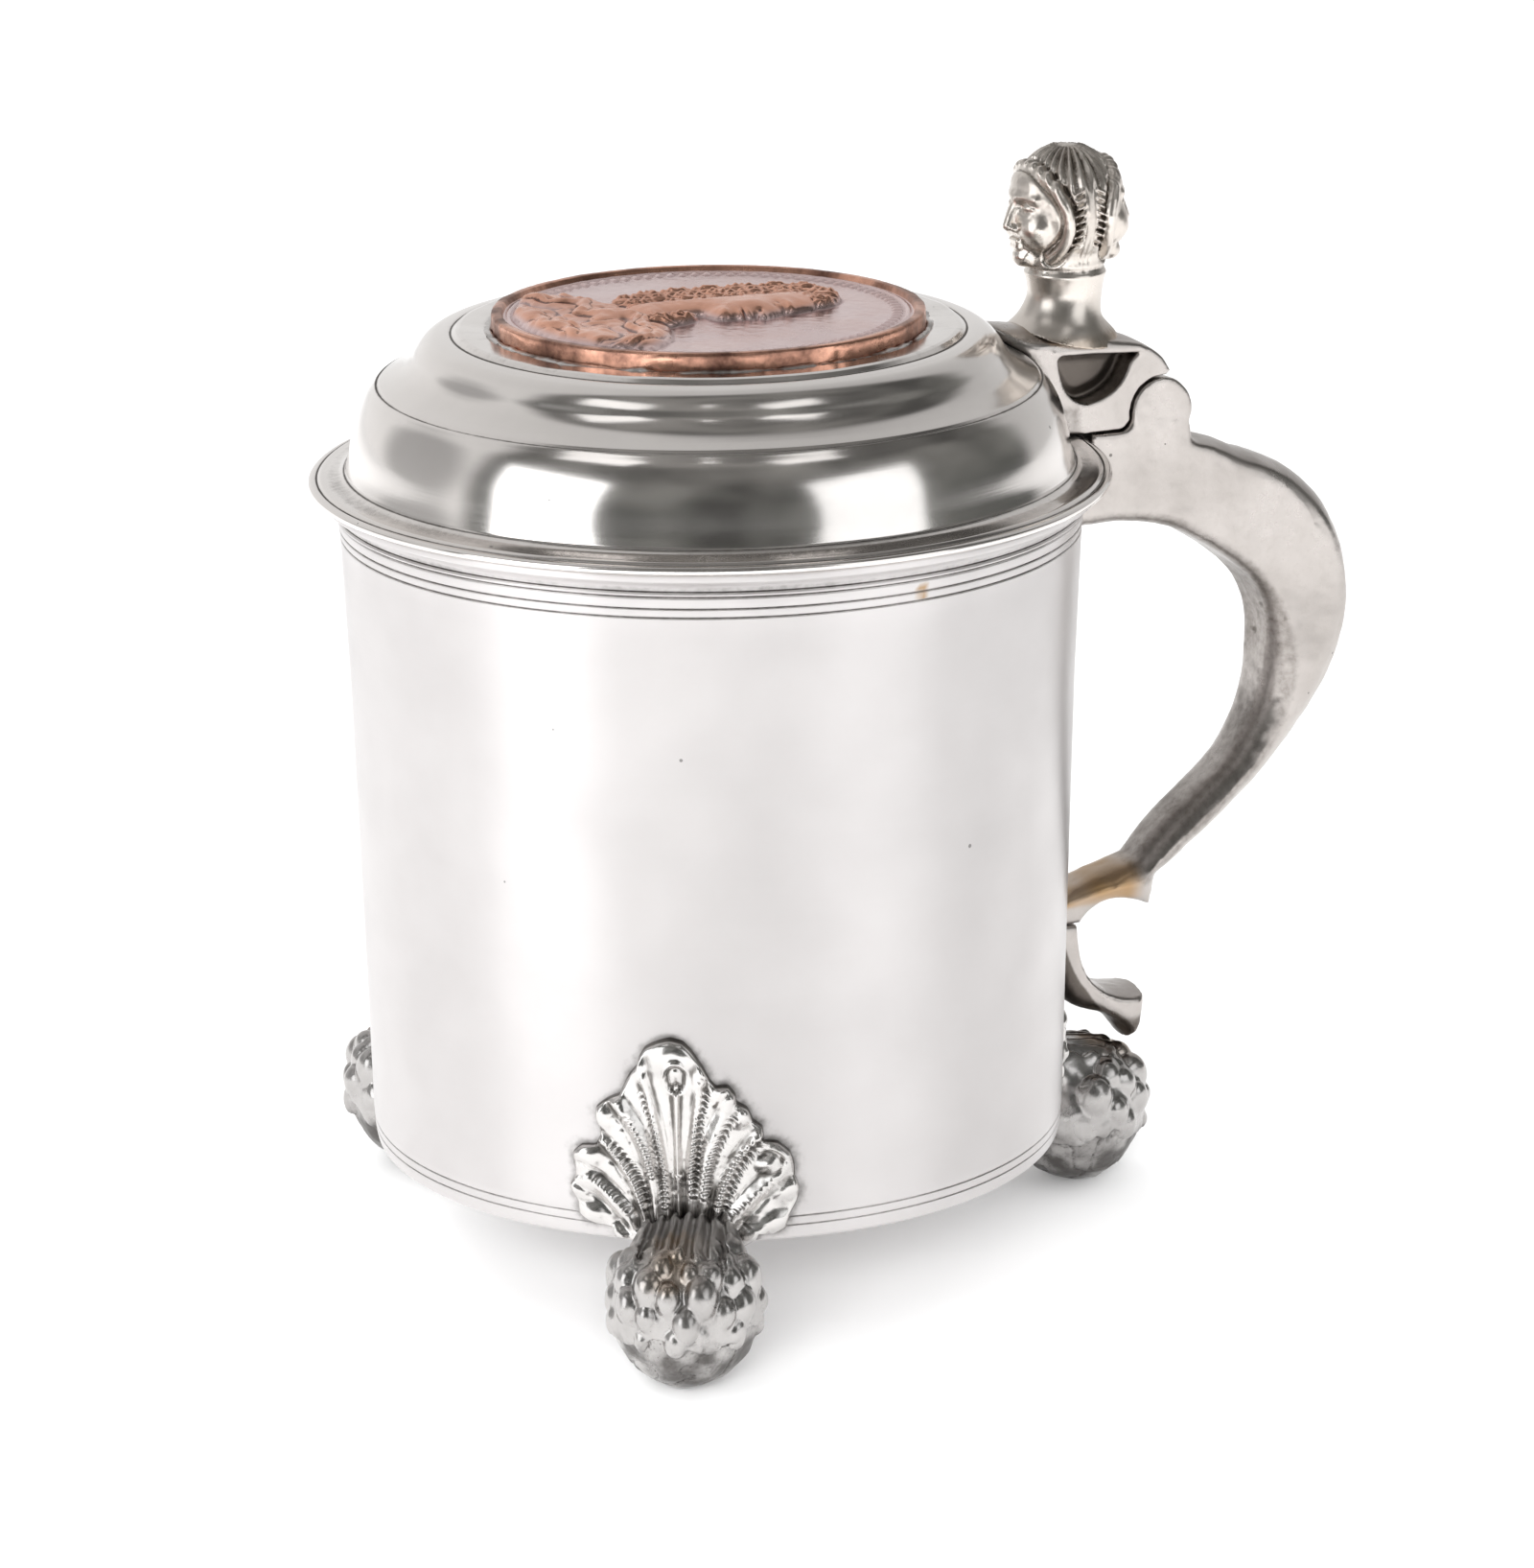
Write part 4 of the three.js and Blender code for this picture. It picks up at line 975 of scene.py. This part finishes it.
def face_shape(f, y, z):
    """A calm, plain face; f is forwards from the middle of the head, and z is up from its middle."""
    add = lambda shape, fillet: joined(solid, shape, fillet)
    solid = egg(f, y, z, (2.9, 0, -0.6), (6.2, 6.3, 8.2))
    solid = add(egg(f, y, z, (5.0, 0, 4.0), (3.4, 5.2, 3.2)), 2.0)
    for s in (-1, 1):
        # cheek and brow
        solid = add(egg(f, y, z, (6.5, s * 3.2, -2.6), (2.3, 2.4, 2.6)), 1.6)
        solid = add(rod(f, y, z, (8.7, s * 0.9, 2.3), (7.3, s * 4.2, 2.2), 0.5, 0.45), 0.9)
    solid = add(egg(f, y, z, (7.2, 0, -7.2), (1.8, 2.2, 1.7)), 1.4)
    for s in (-1, 1):
        # socket, eyeball and eyelids
        solid = removed(solid, egg(f, y, z, (9.3, s * 2.5, 0.9), (1.5, 1.5, 1.0)), 0.5)
        solid = add(egg(f, y, z, (7.6, s * 2.5, 0.8), (1.0, 1.15, 0.75)), 0.2)
        for middle_z in (1.35, 0.2):
            lid = [(7.695, s * 2.5 - 1.35, 0.75), (8.1, s * 2.5, middle_z), (7.695, s * 2.5 + 1.35, 0.75)]
            for a, b in zip(lid, lid[1:]):
                solid = add(rod(f, y, z, a, b, 0.24), 0.25)
    solid = add(rod(f, y, z, (8.6, 0, 2.0), (10.0, 0, -2.2), 0.6, 0.85), 0.8)
    for s in (-1, 1):
        solid = add(egg(f, y, z, (9.2, s * 0.85, -2.6), (0.75, 0.6, 0.6)), 0.4)
        solid = removed(solid, egg(f, y, z, (9.5, s * 0.5, -3.15), (0.45, 0.3, 0.25)), 0.12)
    solid = add(rod(f, y, z, (8.9, -1.2, -4.5), (8.9, 1.2, -4.5), 0.42), 0.5)
    solid = add(rod(f, y, z, (8.7, -1.0, -5.4), (8.7, 1.0, -5.4), 0.5), 0.5)
    return removed(solid, rod(f, y, z, (9.5, -1.7, -4.95), (9.5, 1.7, -4.95), 0.2), 0.15)


def cord_gap(x, y, z):
    """Distance to the middle of the cord that runs round each face, where the hair ends."""
    rim = []
    for a in np.linspace(-0.84 * np.pi, 0.84 * np.pi, 35):
        ry, rz = 8.2 * math.sin(a), -0.5 + 7.3 * math.cos(a)
        rim.append((8.65 * math.sqrt(max(1 - (ry / 9.0) ** 2 - ((rz - 0.2) / 9.6) ** 2, 0.05)), ry, rz))
    gap = 99.0
    for a, b in zip(rim, rim[1:]):
        gap = np.minimum(gap, rod(np.abs(x - HEAD_X), y, z - HEAD_Z, a, b, 0))
    return gap


def make_thumbpiece():
    step = 0.2
    low, high = (48.4, -10.4, 136.5), (72.0, 10.4, 170.2)
    x, y, z = grid(low, high, step)
    up = z - HEAD_Z
    skull = egg(x, y, z, (HEAD_X, 0, HEAD_Z + 0.4), (8.0, 8.4, 9.2))
    left, right = face_shape(HEAD_X - x, y, up), face_shape(x - HEAD_X, y, up)
    solid = joined(skull, np.minimum(left, right), 0.6)
    # hair stands proud of the skull, and a cord runs round each face where the hair ends
    hair = egg(x, y, z, (HEAD_X, 0, HEAD_Z + 0.2), (8.4, 9.0, 9.6))
    face_hole = (np.hypot(y / 8.2, (up + 0.5) / 7.3) - 1) * 6.5
    hair = np.maximum(hair, -face_hole)
    solid = joined(solid, hair, 0.4)
    cord = cord_gap(x, y, z)
    solid = joined(solid, cord - 0.95, 0.2)
    neck_x = 60.0 - 1.5 * smooth(147, 139.5, z)
    neck = (np.hypot((x - neck_x) / (1 + 0.18 * smooth(143, 139, z)), y) - neck_radius(z)) * 0.93
    neck = np.maximum(neck, z - 154.5)
    solid = joined(solid, neck, 1.1)
    # combed hair over the crown, and a braid each side of a plain strip
    near, px, py, pz = near_skin(np.where(z > 150, solid, 99), 1.3, x, y, z)
    pu = pz - HEAD_Z
    across = np.abs(px - HEAD_X)
    round_crown = np.arctan2(py, px - HEAD_X)
    in_hair = smooth(0.98, 1.08, np.hypot(py / 8.2, (pu + 0.5) / 7.3)) * smooth(-7.6, -6.4, pu)
    crown = smooth(2.6, 5.0, pu) * in_hair * smooth(0.8, 2.4, np.hypot(px - HEAD_X, py))
    comb = np.cos(round_crown * 26 + 1.2 * noise(px, py, pz, 3.0, 4))
    cutting = 0.3 * comb * crown
    braid = np.exp(-(((across - 1.75) / 0.72) ** 4)) * smooth(4.6, 3.4, pu) * smooth(-5.6, -4.6, pu)
    rungs = np.cos(2 * np.pi * (pu + 0.5 * across) / 1.15)
    side = smooth(5.0, 6.4, np.abs(py))
    cutting = cutting + 0.34 * rungs * braid * side
    strip = peak(across - 0.85, 0.2) * side * smooth(6.0, 4.6, pu) * smooth(-8.4, -7.4, pu)
    seam = peak(across, 0.16) * side * smooth(-3.0, -4.5, pu)
    cutting = cutting - 0.22 * strip - 0.2 * seam - 0.32 * peak(cord[near] - 1.35, 0.28)
    collar = peak(pz - 150.3, 0.3)
    cutting = cutting - 0.25 * collar * (0.7 + 0.3 * noise(px, py, pz, 1.5, 7))
    cutting = cutting + 0.07 * noise(px, py, pz, 1.3, 3) + 0.035 * noise(px, py, pz, 0.6, 5)
    solid[near] -= cutting
    saddle = np.interp(x, [44, 46.5, 53, 61, 69, 73.2], [143, 142.2, 141.3, 139.7, 138.4, 136.2])
    solid = np.maximum(solid, saddle - 0.3 - 0.018 * y * y - z)
    points, quads, hollow = skin_of(solid, low, step)
    px, py, pz = points.T
    foot = smooth(141.2, 139.4, pz)
    face_front = smooth(5.0, 8.5, np.abs(px - HEAD_X)) * smooth(151, 154, pz)
    tarnish_and_shade = np.clip(1.15 * hollow + 0.35 * foot + 0.3 * peak(pz - 150.3, 0.7)
                      + 0.08 * smooth(150, 162, pz) + 0.06, 0, 1)
    off = cord_gap(px, py, pz)
    on_hair = smooth(4.6, 3.2, np.abs(px - HEAD_X)) * smooth(1.3, 1.7, off) * smooth(151, 153, pz)
    tarnish_and_shade = tarnish_and_shade + 0.2 * on_hair + 0.35 * peak(off - 1.35, 0.3) - 0.5 * smooth(1.2, 0.9, off)
    stain = 0.4 * foot * (0.6 + 0.4 * noise(px, py, pz, 2, 6)) + 0.15 * face_front * hollow
    make("thumbpiece_head", points, quads, "lid", "cast_pewter", FACE, ["thumbpiece"], tarnish_and_shade, stain)


make_thumbpiece()

# ---- handle, hook and pin

BACK_EDGE = [
    (78.9, 123.6), (79.2, 121.4), (82.9, 119.8), (87.4, 116.9), (92.9, 114.3), (97.8, 110.5), (102.0, 105.5),
    (104.2, 102.4), (105.8, 99.0), (106.9, 94.5), (106.4, 88.4), (103.2, 79.6), (97.4, 71.2), (91.6, 64.7),
    (85.0, 58.9), (78.4, 54.0), (75.2, 51.6), (74.2, 50.4),
]
BACK_CREST = [
    (78.9, 123.6), (80.2, 121.7), (83.2, 121.0), (86.3, 120.1), (89.0, 118.8), (92.6, 117.6), (97.3, 115.4),
    (101.0, 112.7), (104.3, 109.2), (106.5, 105.2), (107.9, 101.0), (108.5, 96.0), (107.6, 89.2),
    (103.8, 79.8), (97.7, 71.2), (91.8, 64.8), (85.2, 59.0), (78.6, 54.2), (75.4, 51.8), (74.4, 50.6),
]
INSIDE_EDGE = [
    (72.7, 52.0), (77.4, 57.3), (82.4, 61.4), (87.6, 65.6), (91.5, 70.6), (94.2, 76), (95.5, 82), (95.3, 88),
    (94.2, 92.6), (91.4, 97.2), (86.8, 101.4), (80.9, 105.2), (75.1, 108.2), (67.8, 109.5), (61, 109.5),
    (54, 108.4),
]


def handle_outline(back):
    """The handle from the side, with the given line down its back."""
    top = [(50, RIM_Z - 0.1), (61.5, RIM_Z - 0.1), (61.5, HANDLE_TOP)]
    top += bends((66.6, HANDLE_TOP), ((68.4, HANDLE_TOP), (68.6, PIN_Z), 4))
    top += [(PIN_X + 4.9, PIN_Z - 1.8)]
    spur = [(74.2, 48.0)]
    spur += bends((73.7, 45.6), ((68.6, 48.2), (65.2, 47.0), 6), ((62.6, 46.0), (61.4, 44.0), 5))
    spur += [(50, 44.0), (50, 47.2)]
    strut = bends((56, 47.8), ((64.4, 49.6), (72.7, 52.0), 6))[:-1]
    return top + spline(back, 4).tolist() + spur + strut + spline(INSIDE_EDGE, 4).tolist() + [(50, 108.0)]


def lower_half(z):
    return smooth(98, 80, z)


def half_width(z):
    return 7.0 * mix(1, 0.66, smooth(8, 72, HANDLE_TOP - z))


def make_handle():
    step = 0.34
    low, high = (51.5, -8.2, 41.5), (110.5, 8.2, 134.5)
    x, y, z = grid(low, high, step)
    cheek, crest = (flat_outline(x, z, handle_outline(back)) for back in (BACK_EDGE, BACK_CREST))
    half = half_width(z)
    crown = np.sqrt(np.maximum(1 - np.minimum(np.abs(y) / half, 1) ** 2, 0))
    solid = mix(cheek, crest, crown)
    # the flat cheeks end in a tongue, and the lower half is nearly round, as the inner edge is all along
    rounded = lower_half(z) * smooth(47, 52, z)
    inside = from_line(x[:, :, 0], z[0, :, :], spline(INSIDE_EDGE, 4))
    eased = mix(2.6, 0.75, smooth(1.5, 5.0, inside))[:, None, :]
    solid = both(solid, np.abs(y) - half, mix(eased, 3.6, rounded) + 0.6 * smooth(50, 46, z))
    solid = solid - 1.55 * rounded
    from_pin = np.hypot(x - PIN_X, z - PIN_Z)
    ear = both(from_pin - EAR_R + 0 * y, np.abs(y) - HINGE_W / 2 + 0 * z, 0.45)
    solid = joined(solid, ear, 0.25)
    well = from_pin - (EAR_R + 0.75)
    above = np.maximum(np.abs(x - (PIN_X - 4)) - 4, np.abs(z - (PIN_Z + 4)) - 4.2)
    for side in (-1, 1):
        solid = removed(solid, np.maximum(np.minimum(well, above), lug_slab(side * y, 0)), 0.15)
    # the ears cover the pin's ends with a thin wall
    solid = np.maximum(solid, np.minimum(BORE_R - from_pin, HINGE_W / 2 - 0.4 - np.abs(y)))
    r = np.hypot(x, y)
    wall = np.interp(z, [18.8, 60, 92, 115.5, 118.8, 119.8, 121.2, RIM_Z, RIM_Z + 0.01],
                     [53.8, 54.7, 55.5, 56.5, 57.0, 57.3, 58.9, 59.45, 0])
    solid = np.maximum(solid, wall - r)
    # the skin is uneven, and solder is drawn into the corners where the handle meets the drum
    near, px, py, pz = near_skin(solid, 1.3, x, y, z)
    rough = layers((px, py, pz), (0.09, 3.6, 1), (0.05, 1.4, 2), (0.02, 0.8, 3))
    by_drum = smooth(2.6, 0.2, np.hypot(px, py) - drum_radius(pz)) * (pz < 121)
    solid[near] += rough - 0.45 * by_drum
    solid = np.maximum(solid, wall - r - 0.05)
    points, quads, hollow = skin_of(solid, low, step)
    px, py, pz = points.T
    by_drum = smooth(2.2, 0.2, np.hypot(px, py) - drum_radius(pz)) * (pz < 121)
    inner = from_line(px, pz, spline(INSIDE_EDGE, 4))
    # painted shade darkens the inner underside of the handle; the spots in the grip are dirt, and it is
    # slightly darker near the lower inner edge
    soffit_shade = smooth(2.8, 0.6, inner - 1.5 * lower_half(pz))
    grip = smooth(105, 92, pz) * smooth(60, 72, pz)
    spots = smooth(0.35, 0.8, noise(px, py, pz, 3.2, 8)) * smooth(0.1, 0.6, noise(px, py, pz, 1.0, 9))
    tarnish_and_shade = 0.2 * hollow + 0.5 * by_drum + mix(0.5, 0.4, lower_half(pz)) * soffit_shade \
        + 0.35 * spots * grip * soffit_shade + 0.06 * smooth(82, 66, pz) * smooth(5.5, 2.5, inner)
    strut = smooth(54.5, 52.0, pz) * smooth(46.6, 47.6, pz) * smooth(73, 69, px)
    stain = 0.85 * strut * (0.75 + 0.35 * noise(px, py, pz, 3, 5))
    make("handle_scroll_cast", points, quads, "vessel", "cast_pewter", CAST, ["handle_scroll"], tarnish_and_shade, stain)


HOOK_CHEEK = bends((58.0, 43.9), ((59.0, 40.2), (60.5, 36.6), 6), ((62.6, 32.8), (66.0, 28.7), 8),
                   ((69.0, 27.6), (70.8, 23.6), 6))
HOOK_BELLY = bends((56.6, 43.9), ((56.2, 37.0), (58.6, 32.6), 8), ((60.6, 29.0), (65.4, 28.0), 8),
                   ((68.4, 26.6), (70.6, 22.9), 6))
HOOK_INSIDE = [(72.3, 26.0), (72.9, 29.6)]
HOOK_INSIDE += bends((72.8, 31.4), ((69.6, 31.1), (66.2, 32.3), 6), ((60.8, 35.4), (60.9, 43.9), 8))


def make_hook():
    step = 0.25
    low, high = (54.6, -7.6, 21.8), (75.4, 7.6, 46)
    x, y, z = grid(low, high, step)
    side, belly = (flat_outline(x, z, edge + HOOK_INSIDE) for edge in (HOOK_CHEEK, HOOK_BELLY))
    spread = smooth(61.5, 70.5, x)
    half = 4.4 * mix(1, 1.34, spread) - 2.2 * smooth(70.6, 74.5, x)
    side = mix(side, belly, np.sqrt(np.maximum(1 - (y / half) ** 2, 0)))
    # the strap is a little dished along its inner face and thin at its edges
    side = side + 0.5 * (y / 4.6) ** 2 * smooth(60, 64, x)
    solid = both(side, np.abs(y) - half, 0.7)
    wall = np.interp(z, [18.8, 60], [56.0, 56.2])
    solid = np.maximum(solid, wall - np.hypot(x, y))
    near, px, py, pz = near_skin(solid, 1, x, y, z)
    solid[near] += layers((px, py, pz), (0.09, 2.4, 4), (0.05, 1.0, 2))
    points, quads, hollow = skin_of(solid, low, step)
    px, py, pz = points.T
    # painted shade: the belly and the underside below the cheek are painted dark where the drum shades them,
    # and the lower tip is darker too
    under = from_line(px, pz, HOOK_BELLY)
    cheek = from_line(px, pz, HOOK_CHEEK)
    below = outline_distance(px, pz, HOOK_CHEEK + HOOK_INSIDE) > 0.15
    tarnish_and_shade = 0.75 * np.maximum(below * smooth(0.1, 0.7, cheek), smooth(0.9, 0.2, under)) + 0.3 * hollow
    tarnish_and_shade = tarnish_and_shade + 0.6 * smooth(28.6, 26.6, pz) * smooth(64, 66, px)
    tarnish_and_shade = tarnish_and_shade + 0.1 + 0.12 * noise(px, py, pz, 2, 7)
    make("handle_hook_cast", points, quads, "vessel", "cast_pewter", CAST, ["handle_hook"], tarnish_and_shade)


def make_pin():
    end = HINGE_W / 2 - 0.5
    tip = [(2.45, end - 0.4), (2.2, end - 0.06), (1.4, end + 0.06), (0.02, end + 0.1)]
    other = [(r, -z) for r, z in tip[::-1]]
    flat, quads = woven(turned(softened(even(other + tip, 1.2), 0.1), 48))
    points = np.stack([flat[:, 0] + PIN_X, flat[:, 2], flat[:, 1] + PIN_Z], 1)
    points[:, 1] += 0.03 * noise(*points.T, 1.0, 3)
    tarnish_and_shade = 0.3 + 0.3 * noise(*points.T, 1.2, 2)
    make("hinge_pin_peened", points, quads[:, ::-1], "vessel", "aged_pewter", CAST, ["hinge_pin"], tarnish_and_shade)


make_handle()
make_hook()
make_pin()

# ---- ball-and-claw feet


def stem_across(y, z):
    """How many stems over a place on the ball's cap is; they spread as they come down."""
    return y / (2.0 + 0.16 * np.clip(12 - z, 0, 9))


def on_cap(x, y, z):
    """Whether a place is on the ball's cap, where the stems of the leaf run down."""
    return smooth(5.6, 7.6, z) * smooth(8.6, 6.6, np.abs(y)) * smooth(7.0, 4.0, x)


def make_ball_shape():
    """A clawed ball, its middle at the origin, with +X away from the drum."""
    step = 0.25
    low, high = (-14.0, -13.4, -12.4), (13.6, 13.4, 13.6)
    x, y, z = grid(low, high, step)
    solid = egg(x, y, z, (0, 0, 0), (10.9, 11.0, 11.8))
    # a web of skin behind the knuckles ends in an edge, and the ball shows below it
    lower = z + 1.9 + 1.2 * np.sin(np.arctan2(y, x) * 5.0 - 0.5)
    shell = np.maximum(egg(x, y, z, (0, 0, 0), (11.5, 11.6, 11.9)), -lower)
    solid = joined(solid, np.maximum(shell, -x - 9), 0.3)
    # the neck that grows out of the leaf
    solid = joined(solid, egg(x, y, z, (-4.4, 0, 8.0), (4.6, 7.6, 4.6)), 1.6)
    for s in (-1, 1):
        solid = joined(solid, rod(x, y, z, (-4.4, s * 5.2, 9.4), (-2.2, s * 7.6, 5.8), 2.0, 1.8), 1.5)
    for k, side in enumerate((-86, -56, -28, 0, 28, 56, 86)):
        for j, (fall, size) in enumerate(((33, 1.7), (46, 2.2), (61, 2.8), (79, 2.4), (95, 1.9))):
            sway = math.radians(side + (7 if j % 2 else -5) + 5 * math.sin(2.3 * j + 1.9 * k))
            b = math.radians(fall + 4 * math.sin(1.7 * k + j))
            grown = size * (1 + 0.16 * math.sin(3.1 * k + 1.3 * j))
            out = 10.5 * math.sin(b)
            centre = (out * math.cos(sway), out * math.sin(sway), 10.8 * math.cos(b))
            solid = joined(solid, egg(x, y, z, centre, (grown, grown * 0.82, grown * 1.2)), 0.35)
    near, px, py, pz = near_skin(solid, 1.6, x, y, z)
    above = smooth(-3, 0, pz)
    solid[near] += mix(0.2, 0.14, above) * noise(px, py, pz, 2.3, 1) + 0.07 * noise(px, py, pz, 1.15, 2)
    solid[near] -= 0.5 * np.cos(2 * np.pi * stem_across(py, pz)) * on_cap(px, py, pz)
    cracks = np.abs(noise(px, py, pz, 3.4, 6))
    solid[near] += 0.3 * smooth(0.09, 0.0, cracks) * smooth(1, -3, pz)
    solid = np.maximum(solid, -BALL_Z + 0.02 - z)
    return skin_of(solid, low, step)


def make_balls():
    points, quads, hollow = make_ball_shape()
    px, py, pz = points.T
    mottle = noise(px, py, pz, 2.6, 5)
    # painted shade: the ball is painted darker towards the bottom
    ball_bottom_shade = smooth(0.5, -5.5, pz)
    cap = on_cap(px, py, pz)
    furrow = 0.5 - 0.5 * np.cos(2 * np.pi * stem_across(py, pz))
    tarnish_and_shade = np.clip(1.15 * hollow + 0.52 * ball_bottom_shade + 0.25 * mottle * ball_bottom_shade + 0.14 + 0.12 * mottle, 0, 1)
    tarnish_and_shade = mix(tarnish_and_shade, 0.22 * furrow**2, cap)
    stain = np.clip(0.55 * smooth(5.4, 7.6, pz) * smooth(-1.0, 2.5, px) * peak(py + 1, 3.4)
                    * (0.7 + 0.4 * mottle), 0, 1)
    for i, (turn_degrees, reach, lean) in enumerate(FEET):
        a, b = math.radians(turn_degrees), math.radians(lean)
        centre = np.array([reach * math.cos(b), reach * math.sin(b), BALL_Z])
        local = points + centre
        # the ball stays clear of the drum's wall above its lower edge
        r = np.hypot(local[:, 0], local[:, 1])
        keep = drum_radius(np.maximum(local[:, 2], BASE_Z)) + 0.05
        push = np.where((local[:, 2] > BASE_Z - 0.3) & (r < keep), keep / r, 1)
        local[:, :2] *= push[:, None]
        c, s = math.cos(a), math.sin(a)
        lx, ly, lz = local.T
        placed = np.stack([c * lx - s * ly, s * lx + c * ly, lz], 1)
        make(f"foot_ball_{i + 1}_clawed", placed, quads, "vessel", "aged_pewter", BALL, [f"foot_ball_{i + 1}"],
             tarnish_and_shade, stain)


make_balls()

# ---- studio

FLOOR_REACH, FLOOR_TILES = 6.0, 12      # metres
FLOOR_GAP = 0.0002


def make_floor():
    """A plain paper floor."""
    material = bpy.data.materials.new("paper")
    material.use_nodes = True
    tree = material.node_tree
    shader = tree.nodes["Principled BSDF"]
    here = node(tree, "TexCoord").outputs["Object"]
    fleck = node(tree, "TexNoise", {"Vector": here, "Scale": 3.0, "Detail": 2.0})
    colour = blend_colour(tree, fleck.outputs["Fac"], (0.93, 0.93, 0.93), (0.95, 0.95, 0.95))
    tree.links.new(colour, shader.inputs["Base Color"])
    shader.inputs["Roughness"].default_value = 0.9
    shader.inputs["Specular IOR Level"].default_value = 0.1
    mesh = bpy.data.meshes.new("floor")
    axis = np.linspace(-FLOOR_REACH, FLOOR_REACH, FLOOR_TILES + 1)
    points = [(x, y, -FLOOR_GAP) for x in axis for y in axis]
    row = FLOOR_TILES + 1
    faces = [(i * row + j, (i + 1) * row + j, (i + 1) * row + j + 1, i * row + j + 1)
             for i in range(FLOOR_TILES) for j in range(FLOOR_TILES)]
    mesh.from_pydata(points, [], faces)
    mesh.materials.append(material)
    floor = added("floor", mesh)


def aim(azimuth, elevation):
    """A direction: azimuth 0 is from the tankard to the camera and grows to the camera's right."""
    a, e = math.radians(azimuth), math.radians(elevation)
    flat = TO_CAMERA * math.cos(a) + TO_RIGHT * math.sin(a)
    return flat * math.cos(e) + Vector((0, 0, math.sin(e)))


TANKARD_MIDDLE = Vector((AXIS_X, 0, 0.1))


def softbox(name, azimuth, elevation, distance, width, height, glow, colour=(1, 1, 1), mirrored=True):
    data = bpy.data.lights.new(name, "AREA")
    data.shape = "RECTANGLE"
    data.size, data.size_y = width, height
    data.energy = glow * width * height * math.pi
    data.color = colour
    lamp = added(name, data)
    way = aim(azimuth, elevation)
    lamp.location = TANKARD_MIDDLE + way * distance
    lamp.rotation_euler = way.to_track_quat("Z", "Y").to_euler()
    lamp.visible_camera = False
    lamp.visible_glossy = mirrored


def towards(tree, way, direction):
    """How nearly a direction of view points the given way, from -1 to 1."""
    return node(tree, "VectorMath", {0: way, 1: direction}, operation="DOT_PRODUCT").outputs["Value"]


def scaled_colour(tree, colour, value):
    grey = node(tree, "CombineXYZ", {"X": value, "Y": value, "Z": value}).outputs[0]
    return blend_colour(tree, 1.0, colour, grey, "MULTIPLY")


def make_studio():
    softbox("softbox_left", -53, 16, 1.3, 0.8, 0.80, 2.3, (0.97, 0.985, 1.0))
    softbox("softbox_right", 52, 16, 1.35, 0.85, 0.76, 1.25, (0.97, 0.985, 1.0))
    softbox("softbox_left_high", -50, 56, 1.4, 0.5, 0.28, 1.2)
    softbox("softbox_right_high", 44, 56, 1.4, 0.42, 0.24, 1.1)
    softbox("strip_above", 0, 62, 1.4, 0.07, 0.03, 3.0)
    softbox("floor_key", -112, 50, 1.7, 1.0, 1.0, 2.4, mirrored=False)
    softbox("floor_fill", -8, 18, 2.0, 1.2, 0.8, 16.0, mirrored=False)
    world = bpy.data.worlds.new("studio")
    bpy.context.scene.world = world
    world.use_nodes = True
    tree = world.node_tree
    tree.nodes.clear()
    way = node(tree, "TexCoord").outputs["Generated"]
    height = remap(tree, node(tree, "SeparateXYZ", {"Vector": way}).outputs[2], 0.0, 0.9, 0.0, 1.0)
    # a dark room in front, with some clutter in it
    room = blend_colour(tree, height, (0.095, 0.098, 0.092), (0.16, 0.157, 0.151))
    clutter = node(tree, "TexNoise", {"Vector": way, "Scale": 2.2, "Detail": 2.0}).outputs["Fac"]
    room = scaled_colour(tree, room, remap(tree, clutter, 0.35, 0.7, 0.5, 1.9))
    # white paper behind, darker to the right, with a gap between it and the left softbox
    backdrop = blend_colour(tree, height, (0.92, 0.915, 0.91), (0.62, 0.615, 0.61))
    fall = remap(tree, towards(tree, way, aim(90, 0)), -0.3, 0.9, 1.04, 0.62)
    backdrop = scaled_colour(tree, backdrop, fall)
    gap = towards(tree, way, aim(-108, 12))
    gap = remap(tree, gap, 0.90, 0.975, 0.0, 0.55, interpolation_type="SMOOTHSTEP")
    backdrop = blend_colour(tree, gap, backdrop, (0.1, 0.1, 0.1))
    paper = towards(tree, way, -aim(20, 0))
    paper = remap(tree, paper, 0.12, 0.30, 0.0, 1.0, interpolation_type="SMOOTHSTEP")
    mirrored = blend_colour(tree, paper, room, backdrop)
    # the floor is lit evenly from all round, and the camera sees nothing but white behind it
    path = node(tree, "LightPath").outputs
    plain = maths(tree, "MAXIMUM", path["Is Camera Ray"], path["Is Diffuse Ray"])
    colour = blend_colour(tree, plain, mirrored, (1.0, 1.0, 1.0))
    glow = node(tree, "Background", {"Color": colour, "Strength": 1.0})
    out = node(tree, "OutputWorld")
    tree.links.new(glow.outputs[0], out.inputs["Surface"])


make_floor()
make_studio()
bpy.context.scene.view_settings.view_transform = "Standard"
bpy.context.scene.view_settings.look = "None"

bpy.context.view_layer.update()
